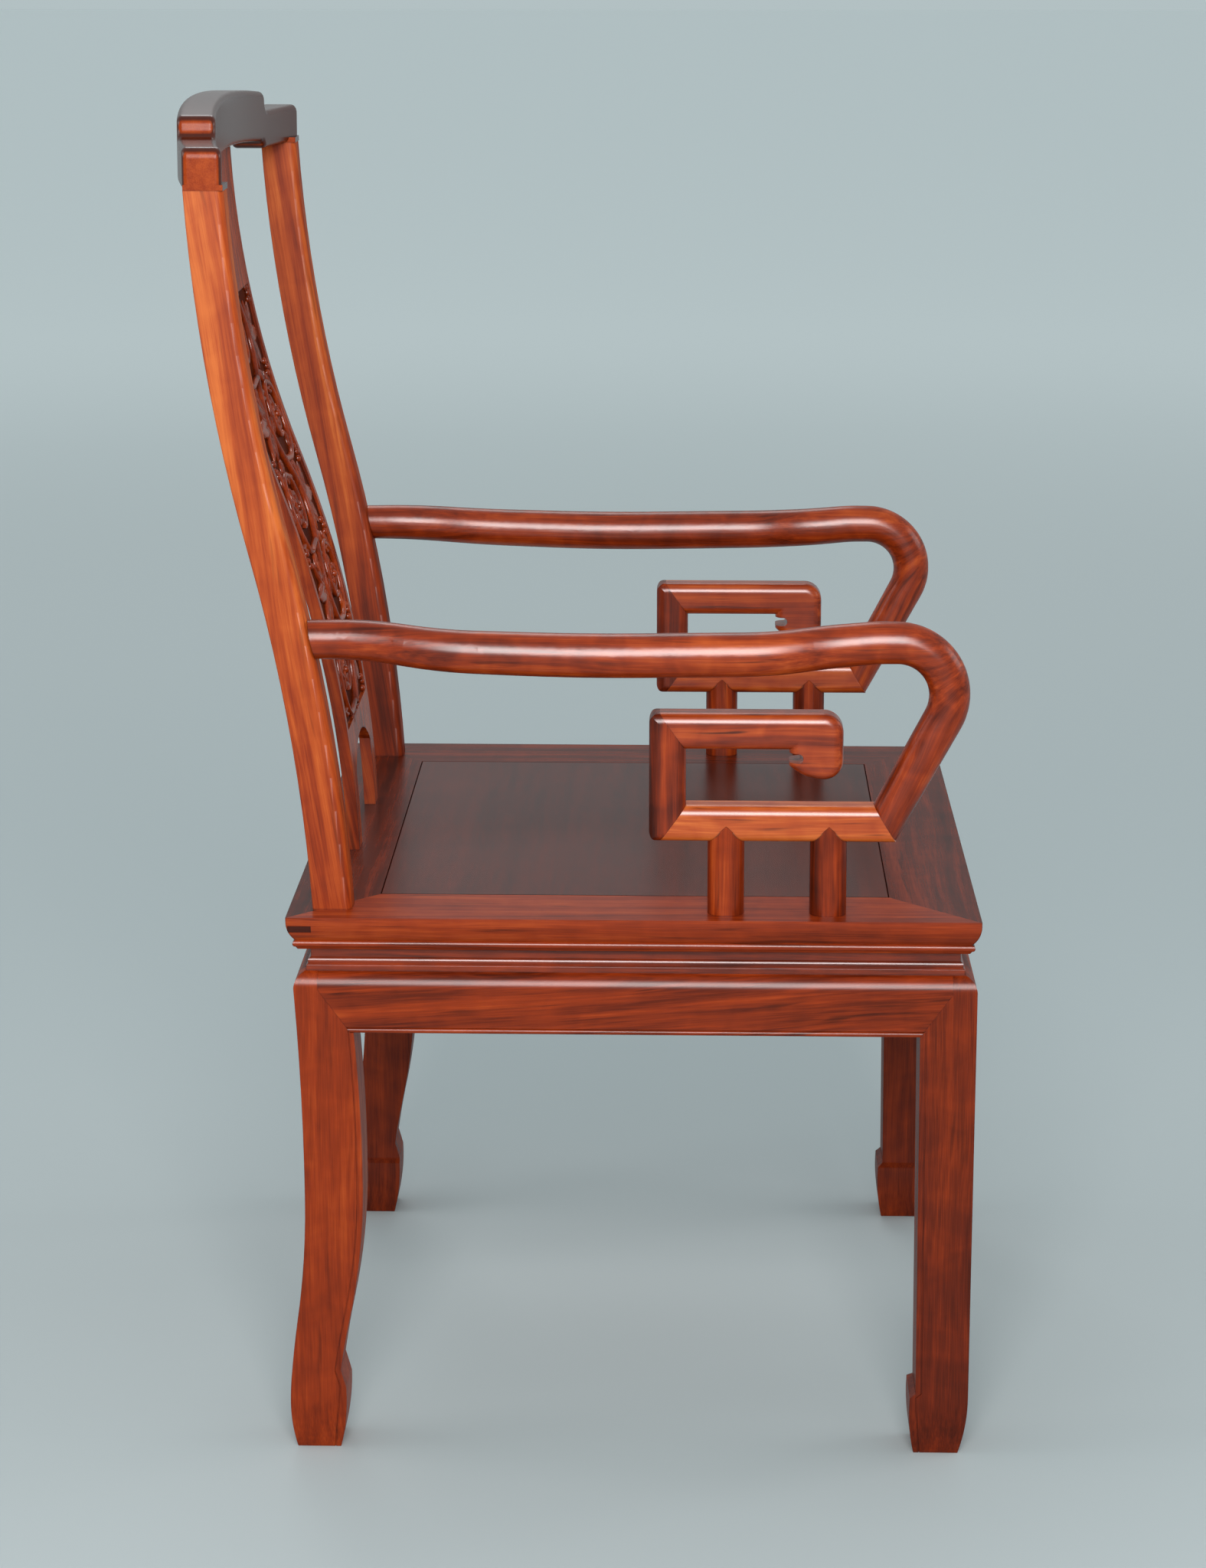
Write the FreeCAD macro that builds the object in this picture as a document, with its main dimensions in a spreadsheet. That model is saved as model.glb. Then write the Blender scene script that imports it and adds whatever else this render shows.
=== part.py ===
import FreeCAD, Part
import Sketcher
import math
import os
from FreeCAD import Placement, Rotation, Vector

# Rosewood armchair with a yoke crest rail, a curved splat and fretted arm supports.
# Millimetres, +Z up, the front towards -Y. The origin is on the floor, at the middle
# of the box that the chair fills. Right and left are the sitter's: right is -X.

# Driving sizes, in millimetres and degrees
SIZES = {
    # Seat frame, a mitred frame with a floating panel
    "seat_width": 560,
    "seat_depth": 530,
    "seat_height": 434,
    "rail_width": 67,
    "rail_height": 27,
    "edge_land": 3,
    "edge_sweep": 6.7,
    "edge_sweep_drop": 16.6,
    "edge_bead": 5.2,
    "edge_bead_radius": 2.65,
    "edge_foot_step": 1.6,
    "panel_thick": 13,
    "panel_tongue": 8,
    "panel_tongue_thick": 6,
    "panel_gap": 0.6,
    "batten_width": 34,
    "batten_thick": 16,
    "batten_spacing": 190,
    "batten_tenon": 10,
    # Tenons at the corners of the seat frame
    "corner_tenon_width": 17.6,
    "corner_tenon_thick": 5,
    "corner_tenon_edge": 1.5,
    "corner_tenon_drop": 7,
    "corner_tenon_root": 34,
    "front_tenon_stop": 9,
    # Clearance of every hidden joint
    "fit": 0.15,
    "overrun": 40,
    # Waist under the seat frame
    "waist_inset": 14.8,
    "waist_thick": 14,
    "waist_height": 18,
    "waist_flat": 8,
    "waist_reed": 4.7,
    "waist_reed_out": 1.7,
    "waist_reed_radius": 3.2,
    # Apron
    "apron_inset": 2.3,
    "back_set": 2.7,
    "apron_thick": 18,
    "apron_shoulder": 13,
    "apron_shoulder_radius": 13,
    "apron_face": 29.5,
    "apron_quirk": 0.9,
    "apron_bead": 4,
    "apron_bead_radius": 2.05,
    "mitre_top": 18.5,
    # Legs with hoof feet
    "leg_width": 43.3,
    "leg_taper": 1.2,
    "leg_corner": 3,
    "hoof_ledge": 51.6,
    "hoof_ledge_drop": 3.5,
    "hoof_bulge": 4.4,
    "hoof_radius": 170,
    "foot_height": 50,
    "foot_draw": 7,
    "foot_radius": 182,
    "foot_inner_draw": 0.6,
    "leg_tenon_size": 15,
    "leg_tenon_rise": 12,
    # Rear legs, whose side outline sways back to the foot
    "sway_top_lean": 4.2,
    "sway_upper": 171,
    "sway_middle": 95,
    "sway_back_lean": 8.3,
    "sway_lower": 50,
    "sway_heel_lean": 5,
    "sway_heel": 22,
    "sway_toe_lean": 14,
    "inner_sway_step": 2.6,
    "inner_sway_lean": 5,
    "inner_sway_upper": 125,
    "inner_sway_middle": 105,
    "inner_sway_back_lean": 12,
    "inner_sway_lower": 46,
    "inner_sway_heel_lean": 8,
    "back_hoof_bulge": 4,
    "back_hoof_drop": 14,
    "back_foot_inner_draw": 1.2,
    # Back stiles
    "stile_inset": 22,
    "stile_width": 28,
    "stile_thick": 30,
    "stile_foot_back": 33.8,
    "stile_end_lean": 3.5,
    "stile_rake": 88.6,
    "stile_turn": 281,
    "stile_round": 6,
    "stile_tenon": 14,
    "stile_tenon_length": 18,
    # Crest rail
    "crest_height": 1041,
    "crest_thick": 30,
    "crest_bow": 28,
    "crest_shoulder": 24,
    "crest_shoulder_thick": 32,
    "crest_rise": 7,
    "crest_step_start": 152,
    "crest_step_lean": 86,
    "crest_under_rise": 5,
    "crest_under_lean": 60,
    "crest_middle_thick": 44,
    "crest_end_round": 8,
    "crest_round": 4.5,
    # Splat
    "splat_width": 170,
    "splat_thick": 9.5,
    "splat_foot_back": 38.8,
    "splat_end_lean": 2,
    "splat_rake": 117.5,
    "splat_turn": 301,
    "splat_rim": 9,
    "splat_sink": 2.4,
    "splat_field_foot": 98,
    "splat_field_top": 445,
    "splat_foot_width": 24,
    "splat_foot_arch": 58,
    "splat_foot_rise": 22,
    "splat_tongue": 9,
    "splat_tenon": 12,
    # Arms
    "arm_rise": 211,
    "arm_dip": 9.5,
    "arm_root_inset": 29,
    "arm_bowed_inset": 17,
    "arm_root_radius": 14.6,
    "arm_middle_radius": 16.6,
    "arm_end_radius": 14,
    "arm_reach": 66,
    "arm_bend": 40,
    "arm_drop_lean": 28,
    "arm_tenon": 16,
    "arm_tenon_length": 14,
    # Fretted arm support
    "fret_inset": 27,
    "fret_bar": 28,
    "fret_round": 8,
    "fret_back": 253.3,
    "fret_front": 106,
    "fret_corner": 8,
    "fret_tenon": 9,
    "fret_tenon_length": 12,
    "hook_round": 15,
    "hook_reach": 41,
    "hook_notch": 7.4,
    "hook_notch_depth": 6.8,
    "hook_lip": 2.2,
    "hook_tip": 2.8,
    "post_size": 28,
    "post_round": 11,
    "post_front": 116.4,
    "post_back": 194.5,
    "post_peak": 13,
    "post_tenon": 14,
    "post_tenon_length": 16,
}

# Places along an arm's top run, from its front bend to the stile: share of the run,
# share of the dip, and share of the bow that widens the arms round the sitter
ARM_RUN_SHARES = (
    (0.035, 0.0, 0.0),
    (0.115, 0.35, 0.0),
    (0.213, 0.76, 1.0),
    (0.529, 1.0, 1.0),
    (0.774, 0.65, 1.0),
    (0.907, 0.0, 0.0),
)
ARM_CORNER_SHARE = 0.45

# Heights of the fret above the seat, as shares of the arm's rise, and the share of
# the fret's window that its hook fills
FRET_BASE_SHARE = 0.2725
FRET_TOP_SHARE = 0.6137
HOOK_SHARE = 0.53


class Size:
    """A size that knows both its number and the formula that gives it."""

    def __init__(self, number, formula):
        self.number = number
        self.formula = formula

    def join(self, sign, number, other, flip=False):
        """This size and another one, or a plain number, joined by a sign."""
        texts = [self.formula, other.formula if isinstance(other, Size) else str(other)]
        if flip:
            texts.reverse()
        return Size(number, f"({texts[0]} {sign} {texts[1]})")

    def __add__(self, other):
        return self.join("+", self.number + amount(other), other)

    def __radd__(self, other):
        return self.join("+", amount(other) + self.number, other, flip=True)

    def __sub__(self, other):
        return self.join("-", self.number - amount(other), other)

    def __rsub__(self, other):
        return self.join("-", amount(other) - self.number, other, flip=True)

    def __mul__(self, other):
        return self.join("*", self.number * amount(other), other)

    def __rmul__(self, other):
        return self.join("*", amount(other) * self.number, other, flip=True)

    def __truediv__(self, other):
        return self.join("/", self.number / amount(other), other)

    def __neg__(self):
        return Size(-self.number, f"(0 - {self.formula})")


def amount(value):
    """The number of a size, or a plain number itself."""
    return value.number if isinstance(value, Size) else value


def sine(lean):
    return Size(math.sin(math.radians(lean.number)), f"sin({lean.formula} * 1 deg)")


def cosine(lean):
    return Size(math.cos(math.radians(lean.number)), f"cos({lean.formula} * 1 deg)")


def tangent(lean):
    return Size(math.tan(math.radians(lean.number)), f"tan({lean.formula} * 1 deg)")


def lean_of(slope):
    """The lean, in degrees, of a slope."""
    return Size(math.degrees(math.atan(slope.number)), f"(atan({slope.formula}) / 1 deg)")


def lean_of_sine(value):
    """The lean, in degrees, whose sine is known."""
    return Size(math.degrees(math.asin(value.number)), f"(asin({value.formula}) / 1 deg)")


doc = FreeCAD.newDocument("armchair")
sheet = doc.addObject("Spreadsheet::Sheet", "Sizes")
size = {}
for row, (name, value) in enumerate(SIZES.items(), start=1):
    sheet.set(f"A{row}", name)
    sheet.set(f"B{row}", str(value))
    sheet.setAlias(f"B{row}", name)
    size[name] = Size(float(value), f"Sizes.{name}")
worked = doc.addObject("App::VarSet", "Worked")
doc.recompute()


def work(name, value):
    """Keep a size that is worked out from the sheet under a name of its own."""
    worked.addProperty("App::PropertyFloat", name, "Worked")
    worked.setExpression(name, value.formula)
    return Size(value.number, f"Worked.{name}")


def bind(thing, path, value):
    """Bind one property of an object to a size."""
    thing.setExpression(path, value.formula)


# Places that many pieces share. Y is counted from the front and back edges of the seat.
stile_foot = size["seat_depth"] - size["stile_foot_back"]
back_reach = stile_foot + size["stile_rake"] + size["crest_bow"] + size["crest_thick"] / 2
front_y = work("front_y", -back_reach / 2)
back_y = work("back_y", front_y + size["seat_depth"])
half_width = work("half_width", size["seat_width"] / 2)
seat_top = size["seat_height"]
rail_bottom = work("rail_bottom", seat_top - size["rail_height"])
apron_top = work("apron_top", rail_bottom - size["waist_height"])
arm_height = work("arm_height", seat_top + size["arm_rise"])
apron_edge = work("apron_edge", apron_top - size["apron_shoulder"])
quirk_top = work("quirk_top", apron_edge - size["apron_face"])
apron_bottom = work("apron_bottom", quirk_top - size["apron_quirk"] / 2 - size["apron_bead"])
shoulder_top = work("shoulder_top", size["crest_height"] - size["crest_shoulder"])
shoulder_bottom = work("shoulder_bottom", shoulder_top - size["crest_shoulder_thick"])


# Sketches and solids
PLANES = {
    "side": Rotation(Vector(1, 1, 1), 120),
    "front": Rotation(Vector(1, 0, 0), 90),
    "plan": Rotation(),
}


def arc_between(start, end, radius):
    """An arc from start to end. A positive radius turns left, a negative one right."""
    first, last = (start, end) if radius > 0 else (end, start)
    chord = last - first
    rise = math.sqrt(max(radius * radius - chord.Length ** 2 / 4, 0))
    centre = (first + last) / 2 + Vector(-chord.y, chord.x) / chord.Length * rise
    begin = math.atan2(first.y - centre.y, first.x - centre.x)
    finish = math.atan2(last.y - centre.y, last.x - centre.x)
    circle = Part.Circle(centre, Vector(0, 0, 1), abs(radius))
    return Part.ArcOfCircle(circle, begin, finish)


def outline(name, plane, corners):
    """A closed sketch. Each corner is (x, y) and may hold a radius: the edge that
    leaves it is then an arc, which turns left if the radius is positive."""
    sketch = doc.addObject("Sketcher::SketchObject", name)
    sketch.Placement = Placement(Vector(), PLANES[plane])
    points = [Vector(amount(corner[0]), amount(corner[1])) for corner in corners]
    heads = []
    for number, corner in enumerate(corners):
        start, end = points[number], points[(number + 1) % len(points)]
        if len(corner) == 3:
            radius = corner[2]
            edge = sketch.addGeometry(arc_between(start, end, radius.number))
            reach = radius if radius.number > 0 else -radius
            index = sketch.addConstraint(Sketcher.Constraint("Radius", edge, reach.number))
            sketch.setExpression(f"Constraints[{index}]", reach.formula)
            heads.append((edge, 1, 2) if radius.number > 0 else (edge, 2, 1))
        else:
            edge = sketch.addGeometry(Part.LineSegment(start, end))
            heads.append((edge, 1, 2))
    for number, (edge, head, tail) in enumerate(heads):
        after = heads[(number + 1) % len(heads)]
        sketch.addConstraint(Sketcher.Constraint("Coincident", edge, tail, after[0], after[1]))
        for kind, value in zip(("DistanceX", "DistanceY"), corners[number]):
            fixed = Sketcher.Constraint(kind, -1, 1, edge, head, float(amount(value)))
            index = sketch.addConstraint(fixed)
            if isinstance(value, Size):
                sketch.setExpression(f"Constraints[{index}]", value.formula)
    return sketch


def thick(name, sketch, length, start=None):
    """A sketch made solid: both ways from its plane, or upwards from a height."""
    solid = doc.addObject("Part::Extrusion", name)
    solid.Base = sketch
    solid.DirMode = "Normal"
    solid.Solid = True
    solid.Symmetric = start is None
    bind(solid, "LengthFwd", length)
    if start is not None:
        bind(sketch, "Placement.Base.z", start)
    return solid


def side_slab(name, corners):
    """A side outline, Y and Z, carried right across the chair."""
    return thick(f"{name}_side", outline(f"{name}_side_outline", "side", corners), size["seat_width"])


def front_slab(name, corners):
    """A front outline, X and Z, carried from well before to well behind the chair."""
    return thick(f"{name}_front", outline(f"{name}_front_outline", "front", corners), -front_y * 3)


def plan_slab(name, corners):
    """A plan outline, X and Y, carried from the floor past the crest."""
    solid = outline(f"{name}_plan_outline", "plan", corners)
    return thick(f"{name}_plan", solid, size["crest_height"] * 3)


def block(name, x, y, z):
    """A box from its lowest to its highest places on each axis."""
    box = doc.addObject("Part::Box", name)
    for side, across, (low, high) in zip("xyz", ("Length", "Width", "Height"), (x, y, z)):
        bind(box, across, high - low)
        bind(box, f"Placement.Base.{side}", low if isinstance(low, Size) else Size(low, str(low)))
    return box


def common(name, first, second):
    solid = doc.addObject("Part::Common", name)
    solid.Base, solid.Tool = first, second
    return solid


def cut(name, base, tools):
    for number, tool in enumerate(tools):
        last = number == len(tools) - 1
        solid = doc.addObject("Part::Cut", name if last else f"{name}_cut{number}")
        solid.Base, solid.Tool = base, tool
        base = solid
    return base


def fused(name, solids):
    solid = doc.addObject("Part::MultiFuse", name)
    solid.Shapes = solids
    solid.Refine = True
    return solid


def mirrored(name, source):
    """The same piece on the other side of the chair."""
    solid = doc.addObject("Part::Mirroring", name)
    solid.Source = source
    solid.Normal = Vector(1, 0, 0)
    return solid


def rounded(name, source, radius, wanted):
    """A piece with some of its edges rounded, chosen by a test on each edge."""
    doc.recompute()
    solid = doc.addObject("Part::Fillet", name)
    solid.Base = source
    edges = enumerate(source.Shape.Edges, start=1)
    solid.Edges = [(number, radius, radius) for number, edge in edges if wanted(edge)]
    return solid


subparts = []


def piece(solid, label):
    """Give a finished piece the name that its file takes."""
    solid.Label = label
    subparts.append(solid)
    return solid


# Seat frame: four moulded rails, mitred at the corners, round a floating panel
groove_top = seat_top - size["panel_thick"] + size["panel_tongue_thick"] + size["fit"]
groove_bottom = seat_top - size["panel_thick"] - size["fit"]
sweep_bottom = seat_top - size["edge_land"] - size["edge_sweep_drop"]
bead_bottom = sweep_bottom - size["edge_bead"]
sweep_radius = work("sweep_radius", (size["edge_sweep"] * size["edge_sweep"]
                    + size["edge_sweep_drop"] * size["edge_sweep_drop"]) / (size["edge_sweep"] * 2))


def rail_section(edge, inward):
    """The section of a seat rail, whose moulded edge is at one place and faces out."""
    def at(depth):
        return edge + depth * inward
    sweep = size["edge_sweep"]
    foot = sweep + size["edge_foot_step"]
    inner = size["rail_width"]
    groove = inner - size["panel_tongue"] - size["fit"]
    return [
        (edge, seat_top),
        (edge, seat_top - size["edge_land"], sweep_radius * inward),
        (at(sweep), sweep_bottom, size["edge_bead_radius"] * inward),
        (at(sweep), bead_bottom),
        (at(foot), rail_bottom),
        (at(inner), rail_bottom),
        (at(inner), groove_bottom),
        (at(groove), groove_bottom),
        (at(groove), groove_top),
        (at(inner), groove_top),
        (at(inner), seat_top),
    ]


def mitred_plan(name, inset, width, back_inset):
    """Four plan outlines that meet at the corners: front, back, right and left."""
    out_x, in_x = half_width - inset, half_width - inset - width
    front, front_in = front_y + inset, front_y + inset + width
    back, back_in = back_y - back_inset, back_y - back_inset - width
    return {
        "front": plan_slab(f"{name}_front", [
            (-out_x, front), (out_x, front), (in_x, front_in), (-in_x, front_in)]),
        "back": plan_slab(f"{name}_back", [
            (out_x, back), (-out_x, back), (-in_x, back_in), (in_x, back_in)]),
        "right": plan_slab(f"{name}_right", [
            (-out_x, back), (-out_x, front), (-in_x, front_in), (-in_x, back_in)]),
        "left": plan_slab(f"{name}_left", [
            (out_x, front), (out_x, back), (in_x, back_in), (in_x, front_in)]),
    }


rail_plans = mitred_plan("rail", Size(0, "0"), size["rail_width"], Size(0, "0"))
rail_sections = {
    "front": side_slab("front_rail", rail_section(front_y, 1)),
    "back": side_slab("back_rail", rail_section(back_y, -1)),
    "right": front_slab("right_rail", rail_section(-half_width, 1)),
    "left": front_slab("left_rail", rail_section(half_width, -1)),
}
rail_blanks = {}
for place in rail_plans:
    rail_blanks[place] = common(f"{place}_rail_blank", rail_sections[place], rail_plans[place])

tenon_top = work("tenon_top", seat_top - size["corner_tenon_drop"])
tenon_bottom = work("tenon_bottom", tenon_top - size["corner_tenon_thick"])
tenon_root = half_width - size["corner_tenon_root"]
back_tenon = (back_y - size["corner_tenon_edge"] - size["corner_tenon_width"],
              back_y - size["corner_tenon_edge"])
front_tenon = (front_y + size["corner_tenon_edge"] + size["front_tenon_stop"],
               front_y + size["corner_tenon_edge"] + size["front_tenon_stop"] + size["corner_tenon_width"])


def corner_tenons(name, span, end, slack):
    """Flat tenons at both ends of a cross rail, or the mortises that take them."""
    room = size["fit"] * slack
    depth = (span[0] - room, span[1] + room)
    height = (tenon_bottom - room, tenon_top + room)
    left = block(f"{name}_left", (tenon_root - room, end + room), depth, height)
    right = block(f"{name}_right", (-end - room, -tenon_root + room), depth, height)
    return [left, right]


front_end = half_width - size["front_tenon_stop"]
back_tenons = corner_tenons("back_tenon", back_tenon, half_width, 0)
back_tenons[0] = common("back_tenon_left_end", back_tenons[0], rail_sections["left"])
back_tenons[1] = common("back_tenon_right_end", back_tenons[1], rail_sections["right"])
front_tenons = corner_tenons("front_tenon", front_tenon, front_end, 0)
back_mortises = corner_tenons("back_mortise", back_tenon, half_width, 1)
front_mortises = corner_tenons("front_mortise", front_tenon, front_end, 1)

# Mortises under and on the rails for the legs, the stiles, the posts, the splat and battens
leg_core = work("leg_core", size["waist_inset"] + size["waist_thick"] + size["fit"])
leg_tenon_top = work("leg_tenon_top", rail_bottom + size["leg_tenon_rise"])


def leg_tenon(name, x_sign, front, slack):
    """The square tenon that rises from a leg into the seat frame, or its mortise."""
    room = size["fit"] * slack
    reach = leg_core + size["leg_tenon_size"]
    if x_sign < 0:
        x = (-half_width + leg_core - room, -half_width + reach + room)
    else:
        x = (half_width - reach - room, half_width - leg_core + room)
    if front:
        y = (front_y + leg_core - room, front_y + reach + room)
    else:
        y = (back_y - size["back_set"] - reach - room, back_y - size["back_set"] - leg_core + room)
    return block(name, x, y, (apron_top - size["fit"] * slack, leg_tenon_top + room))


CORNERS = {
    "front_right": (-1, True),
    "front_left": (1, True),
    "back_right": (-1, False),
    "back_left": (1, False),
}
leg_mortises = {}
for corner, (x_sign, front) in CORNERS.items():
    leg_mortises[corner] = leg_tenon(f"{corner}_leg_mortise", x_sign, front, 1)

stile_middle = half_width - size["stile_inset"] - size["stile_width"] / 2
stile_foot_y = work("stile_foot_y", front_y + stile_foot)
splat_foot_y = work("splat_foot_y", back_y - size["splat_foot_back"] + size["splat_thick"] / 2)
fret_middle = half_width - size["fret_inset"]


def upright_tenon(name, x, y, across, low, high, slack):
    """A square tenon that stands on one centre, or its mortise."""
    room = size["fit"] * slack
    half = across / 2 + room
    return block(name, (x - half, x + half), (y - half, y + half), (low - room, high + room))


def side_mortises(side, x_sign):
    """Mortises in a side rail for its two fret posts."""
    x = fret_middle * x_sign
    low = seat_top - size["post_tenon_length"]
    found = []
    for post in ("front", "back"):
        y = front_y + size[f"post_{post}"]
        found.append(upright_tenon(f"{side}_{post}_post_mortise", x, y, size["post_tenon"], low, seat_top, 1))
    return found


def stile_tenon(name, x_sign, slack):
    x = stile_middle * x_sign
    low = seat_top - size["stile_tenon_length"]
    return upright_tenon(name, x, stile_foot_y, size["stile_tenon"], low, seat_top, slack)


def splat_tenons(name, slack):
    """The splat's two foot tenons, or their mortises in the back rail."""
    room = size["fit"] * slack
    y = (splat_foot_y - size["splat_thick"] / 4 - room, splat_foot_y + size["splat_thick"] / 4 + room)
    z = (seat_top - size["splat_tenon"] - room, seat_top + room)
    outer = size["splat_width"] / 2 - size["splat_rim"] / 2
    inner = size["splat_width"] / 2 - size["splat_foot_width"]
    return [
        block(f"{name}_right", (-outer - room, -inner - size["splat_rim"] / 2 + room), y, z),
        block(f"{name}_left", (inner + size["splat_rim"] / 2 - room, outer + room), y, z),
    ]


BATTENS = {"right": -1, "left": 1}


def batten(name, x_sign, slack):
    """A batten under the panel, tenoned into the front and back rails."""
    room = size["fit"] * slack
    x = size["batten_spacing"] / 2 * x_sign
    half = size["batten_width"] / 2 + room
    top = seat_top - size["panel_thick"] - size["fit"]
    reach = size["rail_width"] - size["batten_tenon"]
    y = (front_y + reach - room, back_y - reach + room)
    return block(name, (x - half, x + half), y, (top - size["batten_thick"] - room, top + room))


batten_mortises = [batten(f"{side}_batten_mortise", sign, 1) for side, sign in BATTENS.items()]
front_rail = fused("front_rail_tenoned", [rail_blanks["front"]] + front_tenons)
front_rail = cut("front_rail_body", front_rail,
                 [leg_mortises["front_right"], leg_mortises["front_left"]] + batten_mortises)
piece(front_rail, "seat_front_rail")
back_rail = fused("back_rail_tenoned", [rail_blanks["back"]] + back_tenons)
back_rail = cut("back_rail_body", back_rail,
                [leg_mortises["back_right"], leg_mortises["back_left"]] + batten_mortises
                + splat_tenons("splat_mortise", 1)
                + [stile_tenon("right_stile_mortise", -1, 1), stile_tenon("left_stile_mortise", 1, 1)])
piece(back_rail, "seat_back_rail")
for side, x_sign, number in (("right", -1, 1), ("left", 1, 0)):
    tools = [back_mortises[number], front_mortises[number]]
    tools += [leg_mortises[f"front_{side}"], leg_mortises[f"back_{side}"]]
    tools += side_mortises(side, x_sign)
    tools.append(stile_tenon(f"{side}_stile_side_mortise", x_sign, 1))
    piece(cut(f"{side}_rail_body", rail_blanks[side], tools), f"seat_{side}_rail")

# Seat panel, flush with the rails, with a tongue all round in their grooves
panel_x = half_width - size["rail_width"] - size["panel_gap"]
panel_front = front_y + size["rail_width"] + size["panel_gap"]
panel_back = back_y - size["rail_width"] - size["panel_gap"]
panel_bottom = seat_top - size["panel_thick"]
tongue = size["panel_tongue"] + size["panel_gap"] - size["fit"]
panel_field = block("panel_field", (-panel_x, panel_x), (panel_front, panel_back), (panel_bottom, seat_top))
panel_edge = block("panel_edge", (-panel_x - tongue, panel_x + tongue),
                   (panel_front - tongue, panel_back + tongue),
                   (panel_bottom, panel_bottom + size["panel_tongue_thick"]))
piece(fused("panel_body", [panel_field, panel_edge]), "seat_panel")
for side, x_sign in BATTENS.items():
    piece(batten(f"{side}_batten", x_sign, 0), f"panel_{side}_batten")

# Waist: a recessed strip with two reeds along its foot, mitred at the corners
waist_top_reed = rail_bottom - size["waist_flat"]


def waist_section(edge, inward):
    """The section of a waist strip: a flat with two reeds below it."""
    def at(depth):
        return edge + depth * inward
    inset, reed, out = size["waist_inset"], size["waist_reed"], size["waist_reed_out"]
    inner = inset + size["waist_thick"]
    bulge = size["waist_reed_radius"] * inward
    return [
        (at(inset), rail_bottom),
        (at(inset), waist_top_reed, bulge),
        (at(inset - out), waist_top_reed - reed, bulge),
        (at(inset - out * 2), waist_top_reed - reed * 2),
        (at(inset - out * 2), apron_top),
        (at(inner), apron_top),
        (at(inner), rail_bottom),
    ]


# Apron: a rounded shoulder, a plain face and a bead along its lower edge
def apron_section(edge, inward, beaded=True):
    """The section of an apron, or of the plain space that the legs leave for it."""
    def at(depth):
        return edge + depth * inward
    inset, quirk = size["apron_inset"], size["apron_quirk"]
    shoulder = size["waist_inset"] - size["waist_reed_out"] * 2 - quirk
    inner = inset + size["apron_thick"]
    bead_top = quirk_top - quirk / 2
    edge_corners = [
        (at(inset), quirk_top),
        (at(inset + quirk), bead_top, size["apron_bead_radius"] * inward),
        (at(inset + quirk), apron_bottom),
    ]
    return [
        (at(shoulder), apron_top, size["apron_shoulder_radius"] * inward),
        (at(inset), apron_edge),
        *(edge_corners if beaded else [(at(inset), apron_bottom)]),
        (at(inner), apron_bottom),
        (at(inner), apron_top),
    ]


edges = {
    "front": (front_y, 1, side_slab),
    "back": (back_y - size["back_set"], -1, side_slab),
    "right": (-half_width, 1, front_slab),
    "left": (half_width, -1, front_slab),
}
waist_plans = mitred_plan("waist", size["waist_inset"] - size["waist_reed_out"] * 2,
                          size["waist_thick"] + size["waist_reed_out"] * 2,
                          size["waist_inset"] - size["waist_reed_out"] * 2 + size["back_set"])
for place, (edge, inward, slab) in edges.items():
    strip = slab(f"{place}_waist", waist_section(edge, inward))
    piece(common(f"{place}_waist_body", strip, waist_plans[place]), f"{place}_waist")

leg_inner = work("leg_inner", size["apron_inset"] + size["leg_width"])
mitre_start = size["apron_inset"] + size["mitre_top"]


def apron_face(low, high):
    """The outline of an apron seen from outside, between the legs' mitred shoulders."""
    return [
        (low + leg_inner, apron_bottom),
        (high - leg_inner, apron_bottom),
        (high - mitre_start, apron_edge),
        (high - mitre_start, apron_top),
        (low + mitre_start, apron_top),
        (low + mitre_start, apron_edge),
    ]


across_face = apron_face(-half_width, half_width)
along_face = apron_face(front_y, back_y - size["back_set"])
front_face = front_slab("across_apron", across_face)
side_face = side_slab("along_apron", along_face)
apron_spaces = {}
for place, (edge, inward, slab) in edges.items():
    face = front_face if place in ("front", "back") else side_face
    blank = slab(f"{place}_apron", apron_section(edge, inward))
    piece(common(f"{place}_apron_body", blank, face), f"{place}_apron")
    plain = slab(f"{place}_apron_space", apron_section(edge, inward, beaded=False))
    apron_spaces[place] = common(f"{place}_apron_space", plain, face)

# Legs: square, with the apron's shoulder at the top and an inward hoof at the foot
leg_foot_inner = leg_inner - size["leg_taper"]


def straight_leg(edge, inward):
    """The outline of a straight leg, from its outer edge inwards."""
    def at(depth):
        return edge + depth * inward
    inset, ledge = size["apron_inset"], size["hoof_ledge"]
    shoulder = size["waist_inset"] - size["waist_reed_out"] * 2 - size["apron_quirk"]
    ankle = inset + size["leg_taper"]
    return [
        (at(shoulder), apron_top, size["apron_shoulder_radius"] * inward),
        (at(inset), apron_edge),
        (at(ankle), size["foot_height"], size["foot_radius"] * inward),
        (at(ankle + size["foot_draw"]), Size(0, "0")),
        (at(leg_foot_inner + size["foot_inner_draw"]), Size(0, "0"), size["hoof_radius"] * inward),
        (at(leg_foot_inner + size["hoof_bulge"]), ledge - size["hoof_ledge_drop"]),
        (at(leg_foot_inner), ledge),
        (at(leg_inner), apron_bottom),
        (at(leg_inner), apron_top),
    ]


def closed_board(front_edge, back_edge):
    """The outline between a front edge and a back edge that go the same way."""
    returning = []
    for later, earlier in zip(reversed(back_edge[1:]), reversed(back_edge[:-1])):
        returning.append(later[:2] + tuple(-turn for turn in earlier[2:]))
    returning.append(back_edge[0][:2])
    return front_edge + returning


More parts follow.
